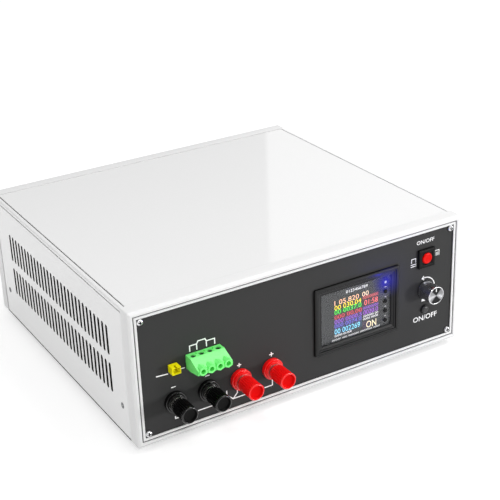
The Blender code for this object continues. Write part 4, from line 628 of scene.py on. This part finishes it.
def lettering(name, words, where_mm, wide_mm, tall_mm, finish, out=INK, weight=0.012):
    """Flat characters of a set length, whose capitals are tall_mm high, centred on a point of the panel:
    the built-in typeface, made a mesh, then scaled and moved onto the face. weight thickens the strokes."""
    curve = bpy.data.curves.new(name, "FONT")
    curve.body = words
    curve.align_x = "CENTER"
    curve.resolution_u = 3
    curve.offset = weight
    holder = bpy.data.objects.new(name + "_curve", curve)
    bpy.context.scene.collection.objects.link(holder)
    flat = bpy.data.meshes.new_from_object(holder.evaluated_get(bpy.context.evaluated_depsgraph_get()))
    bpy.data.objects.remove(holder, do_unlink=True)
    points = np.empty(len(flat.vertices) * 3)
    flat.vertices.foreach_get("co", points)
    points = points.reshape(-1, 3)
    capital = 0.69
    middle = (points[:, 0].min() + points[:, 0].max()) / 2
    at = mm(where_mm)
    u = at[0] + (points[:, 0] - middle) / np.ptp(points[:, 0]) * wide_mm / 1000
    v = at[1] + (points[:, 1] / capital - 0.5) * tall_mm / 1000
    flat.vertices.foreach_set("co", on_face(u, v, out).ravel())
    flat.materials.clear()
    flat.materials.append(finish)
    made = bpy.data.objects.new(name, flat)
    bpy.context.scene.collection.objects.link(made)
    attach(made, "instrument")


lettering("start_words", "ON/OFF", (238.6, 22.2), 22.4, 4.0, screen_ink)
lettering("power_words", "ON/OFF", (237.0, 85.2), 16.0, 2.9, screen_ink)
push_in = [[(224.6, 70.6), (224.6, 73.4), (228.4, 73.4), (228.4, 70.6)], [(224.2, 69.0), (228.8, 69.0)],
           [(224.2, 67.4), (228.8, 67.4)]]
push_out = [[(246.2, 71.0), (246.2, 75.0), (250.0, 75.0), (250.0, 71.0)], [(247.4, 71.0), (247.4, 73.4)],
            [(248.8, 71.0), (248.8, 73.4)]]
strokes("push_symbols", push_in + push_out, 0.55, screen_ink)
dot = [(236.8 + dx, 37.1) for dx in (-0.9, 0.9)]
strokes("panel_dot", [dot], 1.9, screen_ink)

# Screen surround. A black ABS moulding snapped into the panel, with a stepped edge and a deep sloping
# frame down to the window. Its satin mould texture picks up a grey line along each edge. Its steep walls
# take a darker, duller copy of the plastic as painted shade, and blue glow from the lamp is painted into
# both.
satin_abs = lay_grain(new_finish("satin_moulded_abs_black", "#131313", 0.32, specular=0.24), "#171717",
                      "#0F0F0F", 0.5, 0.004, (0.28, 0.40))
screen_wide, _, screen_tall = np.ptp(node_box("screen_bezel"), axis=0)
window_low, window_high = node_box("screen_window")
rim_profile = [(0, 0.0003), (0, 0.0014), (0.0009, 0.0021), (0.0026, 0.0021), (0.0028, 0.0013),
               (0.0040, 0.0013), (0.0042, 0.0009), (0.0062, 0.0006), (0.0062, 0.0002), (0.0045, 0.0002),
               (0.0045, -0.0040), (0.0033, -0.0040), (0.0033, 0.0003), (0, 0.0003)]
# A darker, duller copy of the black plastic: painted shade on the surround's steep walls.
shadow_abs = lay_grain(new_finish("satin_abs_walls_painted_shade", "#020202", 0.6, specular=0.05), "#030303",
                       "#010101", 0.5)
profile = eased(rim_profile)
rows = framed(profile, screen_wide, screen_tall, 0.0012, seat("screen_bezel"))[:-1]
slopes = np.abs(np.diff(profile, axis=0))
steep = (slopes[:, 1] > slopes[:, 0] * 0.9).astype(int)
put_on("screen_surround", rows, net(*rows.shape[:2], True, True), [satin_abs, shadow_abs], "instrument",
       np.repeat(steep, rows.shape[1]), stands_for="screen_bezel")

# Window and display. A clear acrylic pane, lightly tinted, over a lit liquid-crystal panel: a dark grey
# field with rows of coloured digits. A blue lamp shines through the pane's upper right corner, and its
# spread glow there is painted light.
acrylic = new_finish("tinted_acrylic", "#FFFFFF", 0.04, IOR=1.3, Transmission_Weight=1.0)
lay_grain(acrylic, "#FFFFFF", "#F4F6F8", 8.0)
coat(acrylic, "screen_window")


def glowing(name, hexcode, strength, roughness=0.5):
    """A lit finish: the same colour as paint and as light."""
    lit = new_finish(name, hexcode, roughness)
    shader = lit.node_tree.nodes["Principled BSDF"]
    shader.inputs["Emission Color"].default_value = linear(hexcode)
    shader.inputs["Emission Strength"].default_value = strength
    return lit


lcd_field = lay_grain(new_finish("lcd_glass_lit_grey", "#3C3D3E", 0.3, specular=0.1), "#424344", "#38393A",
                      6.0)
field_shader = lcd_field.node_tree.nodes["Principled BSDF"]
tint_socket = field_shader.inputs["Base Color"].links[0].from_socket
lcd_field.node_tree.links.new(tint_socket, field_shader.inputs["Emission Color"])
field_shader.inputs["Emission Strength"].default_value = 0.35
coat(lcd_field, "lcd_panel")
lcd_low, lcd_high = node_box("lcd_panel")
lcd_out = face_y - lcd_low[1]
window_out = face_y - window_low[1]
window_in = face_y - window_high[1]
# Grey print on the pane's back, from its edge to just over the display's. It shares the lit display's
# finish, so it glows like the display: painted light.
edges = [np.array(((low[0], low[2]), (high[0], low[2]), (high[0], high[2]), (low[0], high[2])))
         for low, high in ((window_low, window_high), (lcd_low + 0.0004, lcd_high - 0.0004))]
mask_rows = [on_face(edge[:, 0], edge[:, 1] - middle_z, window_in - 0.00003) for edge in edges]
put_on("pane_mask", mask_rows, net(2, 4, False, True), [lcd_field], "instrument", tidy=False)
DIGIT_ROWS = (
    ("1 05.820", "#FFC9A0", 157.3, 178.6, 57.1, 3.8), ("00 030.04", "#FFE81E", 157.3, 180.6, 53.1, 3.6),
    ("00 0037.0", "#4CE848", 157.3, 180.8, 49.6, 3.5), ("000 00.00", "#D84450", 157.3, 181.2, 45.5, 3.1),
    ("000 0000.5", "#8E50C8", 157.3, 181.2, 41.9, 3.1), ("000 0074.0", "#6560C8", 157.3, 180.8, 38.4, 3.1),
    ("00 002269", "#8CE0F8", 157.3, 179.6, 33.9, 4.1), ("00000 00.000", "#F4F4F4", 157.3, 172.2, 30.5, 1.6),
    ("00", "#FFE2C0", 181.4, 187.2, 57.3, 3.7), ("000000000", "#E06058", 182.0, 195.6, 54.2, 2.3),
    ("01:58", "#FF7070", 183.4, 195.4, 49.8, 4.1), ("00000000", "#9458C8", 182.4, 195.8, 45.6, 2.2),
    ("0020.0", "#A458D0", 182.6, 195.6, 42.0, 3.5), ("000000 00", "#F4F4F4", 182.4, 195.8, 38.9, 1.6),
    ("0000 0000", "#F4F4F4", 182.4, 195.8, 36.6, 1.6), ("ON", "#FFF0C8", 185.2, 194.2, 31.4, 5.4),
    ("0123456789", "#F4F4F4", 167.3, 186.2, 63.3, 2.2),
    ("00000 000 000000 0000000 0000", "#F4F4F4", 155.1, 197.6, 27.4, 1.3))
for number, (words, colour, left, right, z, tall) in enumerate(DIGIT_ROWS, 1):
    digits = glowing(f"lcd_digits_{number}", colour, 0.7)
    lettering(f"screen_row_{number}", words, ((left + right) / 2, z), right - left, tall, digits,
              lcd_out + 0.00006, 0.0)
TINTS = ((157.0, 181.4, 49.6, 4.0, "#16501C"), (157.0, 181.4, 45.5, 4.0, "#501C26"),
         (157.0, 181.4, 41.9, 3.6, "#3A2A5C"), (157.0, 181.4, 38.3, 3.5, "#302E62"),
         (157.0, 181.4, 33.9, 5.0, "#203C58"), (181.7, 196.2, 54.2, 3.2, "#54202A"),
         (181.7, 196.2, 49.9, 5.2, "#382226"), (181.7, 196.2, 45.6, 3.2, "#38264E"),
         (181.7, 196.2, 42.0, 4.0, "#342648"), (181.7, 184.6, 31.4, 6.4, "#3C2842"))
for number, (left, right, z, tall, colour) in enumerate(TINTS, 1):
    strip = lay_grain(glowing(f"lcd_row_tint_{number}", colour, 0.4), colour, colour, 5.0)
    ends = [(left + tall / 2, z), (max(right - tall / 2, left + tall / 2 + 0.05), z)]
    strokes(f"screen_row_back_{number}", [ends], tall, strip, lcd_out + 0.00002)

# Keys and lamp. Four black push keys stand in holes of the pane. A blue lamp sits behind the pane above
# them. Its light's spread through the pane is painted: a glowing patch on the pane that fades with
# distance from the lamp, and blue glow painted into the surround round it.
key_plastic = lay_grain(new_finish("moulded_nylon_black", "#050505", 0.45, specular=0.15), "#070707",
                        "#030303", 0.4, 0.003)
for number in range(1, 5):
    low, high = node_box(f"screen_button_{number}")
    top, back = face_y - low[1], face_y - high[1]
    shape = [(0, top), (0.0015, top), (0.0015, back + 0.0006), (0.0020, back + 0.0006), (0.0020, back),
             (0, back)]
    turned(f"screen_key_{number}", eased(shape, 0.0003, 4), seat(f"screen_button_{number}"), 40,
           [key_plastic], f"screen_button_{number}_body", f"screen_button_{number}")
key_x, lamp_z = 201.3, 62.1
board_green = lay_grain(new_finish("solder_masked_board", "#0E4A26", 0.35), "#125A2E", "#0A3C1E", 2.5, 0.01)
coat(board_green, "display_board", "main_board")
# The lamp's painted glow on the pane: whitish at the lamp itself and blue round it, fading with distance.
halo = new_finish("blue_lamp_glow", "#08082A", 0.5, specular=0.1)
halo_tree = halo.node_tree
halo_shader = halo_tree.nodes["Principled BSDF"]


def lamp_fade(tree, reach):
    """How strongly the blue lamp's painted glow shows at a place: one minus the distance from the lamp over
    its reach, to the power 2.2. Gives the distance and the fade."""
    place = add(tree, "ShaderNodeTexCoord")
    moved = add(tree, "ShaderNodeMapping", {"Location": tuple(-on_face(*mm((key_x, lamp_z)), 0.0))},
                Vector=place.outputs["Object"])
    far = add(tree, "ShaderNodeVectorMath", {"operation": "LENGTH"}, _0=moved.outputs["Vector"])
    near = add(tree, "ShaderNodeMapRange", {"From Max": reach, "To Min": 1.0, "To Max": 0.0},
               Value=far.outputs["Value"])
    fade = add(tree, "ShaderNodeMath", {"operation": "POWER", 1: 2.2}, _0=near.outputs["Result"])
    return far.outputs["Value"], fade.outputs[0]


halo_distance, halo_alpha = lamp_fade(halo_tree, 0.0145)
halo_tree.links.new(halo_alpha, halo_shader.inputs["Alpha"])
# Blue glow painted into the surround's finishes, fading with distance from the lamp.
for stray in (satin_abs.node_tree, shadow_abs.node_tree):
    stray_shader = stray.nodes["Principled BSDF"]
    stray_shader.inputs["Emission Color"].default_value = linear("#3030C0")
    stray.links.new(lamp_fade(stray, 0.0160)[1], stray_shader.inputs["Emission Strength"])
halo_core = add(halo_tree, "ShaderNodeMapRange", {"From Min": 0.0005, "From Max": 0.0013, "To Min": 1.0,
                                                  "To Max": 0.0}, Value=halo_distance)
halo_tint = add(halo_tree, "ShaderNodeMix", {"data_type": "RGBA", 6: linear("#3434C8"),
                                             7: linear("#E8ECFF")}, Factor=halo_core.outputs["Result"])
halo_tree.links.new(halo_tint.outputs[2], halo_shader.inputs["Emission Color"])
halo_shader.inputs["Emission Strength"].default_value = 0.9
# The patch that carries the painted glow, laid on the pane's front.
glow_u, glow_v = mm([(184.0, 46.0), (206.2, 46.0), (206.2, 67.4), (184.0, 67.4)]).T
put_on("lamp_glow", on_face(glow_u, glow_v, window_out + 0.00002), [(0, 1, 2, 3)], [halo], "instrument",
       tidy=False)
ticks = [[(key_x - 0.5, z), (key_x + 0.5, z)] for z in (58.3, 50.3, 42.4, 34.6)]
strokes("key_marks", ticks, 0.35, screen_ink, window_out + 0.00003)
blue_light = bpy.data.lights.new("blue_lamp_light", "POINT")
blue_light.color = linear("#3030FF")[:3]
blue_light.energy = 0.008
blue_light.shadow_soft_size = 0.002
blue_stand = bpy.data.objects.new("blue_lamp_light", blue_light)
blue_stand.location = on_face(*mm((key_x, lamp_z)), window_out + 0.012)
bpy.context.scene.collection.objects.link(blue_stand)

# Power switch. A square black nylon housing snapped into the panel, with a round red button that
# latches in. The button is a glossy moulding with a shallow dished face.
nylon = lay_grain(new_finish("moulded_nylon_housing", "#060606", 0.42, specular=0.12), "#080808", "#040404",
                  0.5, 0.004, (0.34, 0.48))
power_at = seat("power_switch_body")
housing = [(0, 0.0003), (0, 0.0019), (0.0006, 0.0023), (0.0026, 0.0023), (0.0031, 0.0018)]
rows = framed(eased(housing), 0.0150, 0.0150, 0.0008, power_at)
columns = rows.shape[1]
# The round hole is turned until its first column lies nearest to the square's, so the faces don't twist.
hole = spun([(0.00455, 0.0018), (0.00455, -0.0080), (0.0, -0.0080)], power_at, columns)
nearest = int(np.argmin(np.linalg.norm((rows[-1] - hole[0, 0])[:, [0, 2]], axis=1)))
rows = np.concatenate([rows, np.roll(hole, nearest, axis=1)])
put_on("power_switch_housing", rows, net(len(rows), columns, False, True), [nylon], "instrument",
       stands_for="power_switch_body")
red_gloss = lay_grain(new_finish("polished_abs_red", "#DC0C04", 0.25, specular=0.1), "#E40E06", "#D40802",
                      3.0, 0.0, (0.18, 0.28))
top = face_y - node_box("power_button")[0][1]
shape = [(0, top - 0.0003), (0.0022, top - 0.00026), (0.0034, top), (0.00425, top - 0.0005),
         (0.00425, -0.0047), (0, -0.0047)]
turned("power_push_button", eased(shape, 0.0005, 5), power_at, 64, [red_gloss], "power_button_body",
       "power_button")

# Tuning knob. Turned aluminium, anodised dark grey: a straight side with faint turning lines, a bright
# diamond-cut rim, and a spun face with two opposite pale fans painted into its colour as a painted
# highlight, under a gloss that follows the turning.
side_anodised = lay_grain(new_finish("anodised_aluminium_turned", "#9A9A9C", 0.36, 0.8), "#C4C4C6",
                          "#606062", 0.8, 0.002, (0.30, 0.42), (1, 12, 1))
bright_cut = lay_grain(new_finish("diamond_cut_aluminium", "#CFCFD1", 0.25, 1.0), "#D8D8DA", "#C0C0C2", 0.4)
spun_face = new_finish("spun_aluminium_face_painted_fans", "#8C8C8E", 0.34, 1.0, Anisotropic=0.85)
fans = spun_face.node_tree
fan_shader = fans.nodes["Principled BSDF"]
tangent = add(fans, "ShaderNodeTangent", {"direction_type": "UV_MAP", "uv_map": "around"})
fans.links.new(tangent.outputs["Tangent"], fan_shader.inputs["Tangent"])
# Painted highlight: the colour follows the cosine of twice the turn, so that two pale fans lie opposite each
# other.
chart = add(fans, "ShaderNodeUVMap", {"uv_map": "around"})
split = add(fans, "ShaderNodeSeparateXYZ", Vector=chart.outputs["UV"])
swing = add(fans, "ShaderNodeMath", {"operation": "MULTIPLY", 1: 4 * math.pi}, _0=split.outputs["X"])
wave = add(fans, "ShaderNodeMath", {"operation": "COSINE"}, _0=swing.outputs[0])
painted_fans_edge = add(fans, "ShaderNodeMapRange", {"From Min": -0.2, "From Max": 0.2}, Value=wave.outputs[0])
painted_fans_mix = add(fans, "ShaderNodeMix", {"data_type": "RGBA", 6: linear("#2C2C2D"), 7: linear("#8C8C8E")},
              Factor=painted_fans_edge.outputs["Result"])
fans.links.new(painted_fans_mix.outputs[2], fan_shader.inputs["Base Color"])
knob_low, knob_high = node_box("tuning_knob")
front, back = face_y - knob_low[1], face_y - knob_high[1]
knob_profile = [(0, front - 0.00030), (0.0063, front - 0.00030), (0.0064, front), (0.0067, front),
                (0.0070, front - 0.0003), (0.0070, back + 0.0006), (0.0068, back), (0.0061, back),
                (0.0061, 0.0039), (0.0033, 0.0039), (0.0033, front - 0.0012), (0, front - 0.0012)]
profile = eased(knob_profile, 0.00012)
turns = 96
rows = spun(profile, seat("tuning_knob"), turns)
on_front = (profile[:-1, 1] > front - 0.0004) & (profile[1:, 0] <= 0.00635)
on_rim = (profile[:-1, 1] > front - 0.0005) & (profile[1:, 0] > 0.0063)
row_finish = np.where(on_rim, 1, np.where(on_front, 2, 0))
knob = put_on("turned_knob", rows, net(len(rows), turns, False, True),
              [side_anodised, bright_cut, spun_face], "tuning_knob_body", np.repeat(row_finish, turns),
              tidy=False, stands_for="tuning_knob")


def wrap_round(made, columns):
    """A UV map named around, for a spun piece: across is the share of a turn, from each point's column,
    and up is its row. A face in the last column runs on past one turn, so nothing stretches back."""
    mesh = made.data
    corners = np.empty(len(mesh.loops), np.int32)
    mesh.loops.foreach_get("vertex_index", corners)
    column = (corners % columns).reshape(-1, 4)
    column = np.where((column == 0) & (column.max(1, keepdims=True) == columns - 1), columns, column)
    chart = mesh.uv_layers.new(name="around")
    chart.data.foreach_set("uv", np.stack([column.ravel() / columns, corners // columns], 1).ravel())
    close_up(mesh)


wrap_round(knob, turns)
strokes("knob_pointer", [[(knob_mm[0], knob_mm[1] + 3.4), (knob_mm[0], knob_mm[1] + 5.4)]], 0.8,
        screen_ink, front - 0.00026, "tuning_knob_body")
plated = lay_grain(new_finish("zinc_die_casting", "#A8A8AA", 0.36, 1.0), "#B2B2B4", "#989899", 1.0)
coat(plated, "encoder_body")
coat(bright_steel, "encoder_shaft")

# Start button. A round black momentary button standing out of a plain hole, with a satin face and a
# softened edge. Its switch is fixed behind the panel.
top = face_y - node_box("start_button")[0][1]
shape = [(0, top - 0.0001), (0.0022, top - 0.00015), (0.0032, top - 0.0010), (0.0032, -0.0031),
         (0.0040, -0.0031), (0.0040, -0.0071), (0, -0.0071)]
satin_button = lay_grain(new_finish("satin_button_black", "#1C1C1D", 0.3), "#242425", "#161617", 1.2, 0.0,
                         (0.24, 0.36))
turned("start_push_button", eased(shape, 0.0007, 5), seat("start_button"), 56, [satin_button],
       "start_button_body", "start_button")
coat(nylon, "start_switch")

# Terminal block. Green polyamide, moulded in one piece with a ribbed top, a long sloping face and four
# eight-sided barrels, each with a wire hole over a plated clamp.
polyamide = lay_grain(new_finish("moulded_polyamide_green", "#7CFA80", 0.3), "#84FD88", "#70F576", 1.6,
                      0.006, (0.26, 0.36))
coat(polyamide, "terminal_block")
# The clamp screws are coloured darker than their plating, as painted shade deep in their holes.
screw_steel_painted_shade = lay_grain(new_finish("zinc_plated_screw_painted_shade", "#5A5C5E", 0.4, 1.0), "#66686A", "#4C4E50",
                       0.8)
coat(screw_steel_painted_shade, *[f"terminal_screw_{number}" for number in range(1, 5)])

# Probe header. A small yellow two-pin header for the temperature probe, moulded with a keyed shroud
# round two tinned pins.
yellow_nylon = lay_grain(new_finish("moulded_nylon_yellow", "#F6EC00", 0.4, specular=0.2), "#FCF408",
                         "#ECE000", 0.8, 0.004)
coat(yellow_nylon, "probe_header")

# Binding posts. Each has a moulded collar on the panel, a plated stud and nut ring, and a screw cap with
# a fine knurl, a smooth end band and a shallow dish. Two are black and two are red. The dish takes a
# darker, duller copy of the cap's plastic as painted shade.
gloss_black = lay_grain(new_finish("moulded_phenolic_black", "#040404", 0.12), "#060606", "#030303", 1.0,
                        0.0, (0.08, 0.14))
gloss_red = lay_grain(new_finish("moulded_polycarbonate_red", "#F81012", 0.20, specular=0.6), "#FC1416",
                      "#F40C0E", 1.0, 0.0, (0.16, 0.24))
# Darker, duller copies of the caps' plastics: painted shade in the dishes.
dish_shade_black = lay_grain(new_finish("phenolic_black_dish_painted_shade", "#030303", 0.4, specular=0.1), "#040404",
                       "#020202", 1.0)
dish_shade_red = lay_grain(new_finish("polycarbonate_red_dish_painted_shade", "#E00505", 0.4, specular=0.05), "#E60606",
                     "#DA0404", 1.0)
nickel = lay_grain(new_finish("nickel_plated_brass", "#F0EEE8", 0.15, 1.0), "#F6F4EE", "#E2E0D8", 0.5)
RIBS = 24


def knurl(profile, angle):
    """Ribs along the cap: a rounded saw of the angle, as deep as the mask of each row allows."""
    wave = np.abs(np.sin(angle * RIBS / 2))[None]
    on_grip = ((profile[:, 1] > 0.0086) & (profile[:, 1] < 0.0213) & (profile[:, 0] > 0.005))[:, None]
    return -0.0007 * (1 - wave) * on_grip


black_post = (gloss_black, dish_shade_black, "post_black")
red_post = (gloss_red, dish_shade_red, "post_red")
for number, (plastic, dished, slot) in enumerate((black_post, black_post, red_post, red_post), 1):
    at = seat(f"post_collar_{number}")
    collar_shape = [(0.0028, 0.0044), (0.0064, 0.0044), (0.0064, 0.0029), (0.0066, 0.0029),
                    (0.0066, 0.0034), (0.0078, 0.0034), (0.0078, 0.0003), (0.0046, 0.0003),
                    (0.0046, -0.0022), (0.0028, -0.0022), (0.0028, 0.0044)]
    turned(f"post_base_{number}", eased(collar_shape, 0.00025), at, 72, [plastic], "instrument",
           f"post_collar_{number}")
    coat(nickel, f"post_stud_{number}", f"post_insert_{number}")
    shoulder = [(0.0026, 0.0055), (0.0052, 0.0055), (0.0052, 0.0047), (0.0026, 0.0047), (0.0026, 0.0055)]
    turned(f"post_shoulder_{number}", eased(shoulder, 0.0001, 2), at, 72, [nickel], "instrument")
    flange = [(0.0028, 0.0066), (0.0055, 0.0066), (0.0055, 0.0058), (0.0028, 0.0058), (0.0028, 0.0066)]
    turned(f"post_nut_ring_{number}", eased(flange, 0.0001, 2), at, 72, [nickel],
           f"post_insert_{number}_body")
    tip = face_y - node_box(f"post_cap_{number}")[0][1]
    cap_shape = [(0, tip - 0.0018), (0.0044, tip - 0.0017), (0.0051, tip), (0.0057, tip),
                 (0.0062, tip - 0.0005), (0.0062, tip - 0.0012), (0.0060, tip - 0.0016),
                 (0.0061, tip - 0.0020), (0.0061, 0.0088), (0.0057, 0.0080), (0.0057, 0.0069),
                 (0.0042, 0.0069), (0.0042, 0.0150), (0, 0.0150)]
    profile = eased(cap_shape, 0.0003)
    in_dish = (profile[:-1, 1] < tip - 0.0002) & (profile[:-1, 1] > tip - 0.002) & (profile[1:, 0] < 0.0051)
    turned(f"post_screw_cap_{number}", profile, at, RIBS * 8, [plastic, dished], f"post_cap_{number}_body",
           f"post_cap_{number}", in_dish, knurl)

# Rear and inside. Black moulded fans and mains inlet, an extruded heatsink, epoxy transistors and a
# supply module coloured near-black as painted shade, so that the slots read dark. They show from behind
# and dimly through the slots.
fan_plastic = lay_grain(new_finish("moulded_pbt_black", "#161617", 0.45), "#1B1B1C", "#111112", 0.8, 0.004)
coat(fan_plastic, "fan_frame_1", "fan_frame_2", "fan_rotor_1", "fan_rotor_2")
coat(nylon, "inlet_body")
extruded = lay_grain(new_finish("extruded_aluminium", "#A9ABAD", 0.4, 1.0), "#B4B6B8", "#9C9EA0", 1.0, 0.0,
                     (0.32, 0.48), (1, 8, 1))
coat(extruded, "heatsink")
epoxy = lay_grain(new_finish("moulded_epoxy_black", "#161616", 0.6), "#1A1A1A", "#121212", 0.6, 0.006)
coat(epoxy, "transistor_bar")
module_painted_shade = lay_grain(new_finish("supply_module_painted_shade", "#1A1A1B", 0.5), "#1F1F20", "#161617", 0.8,
                          0.004)
coat(module_painted_shade, "power_supply")
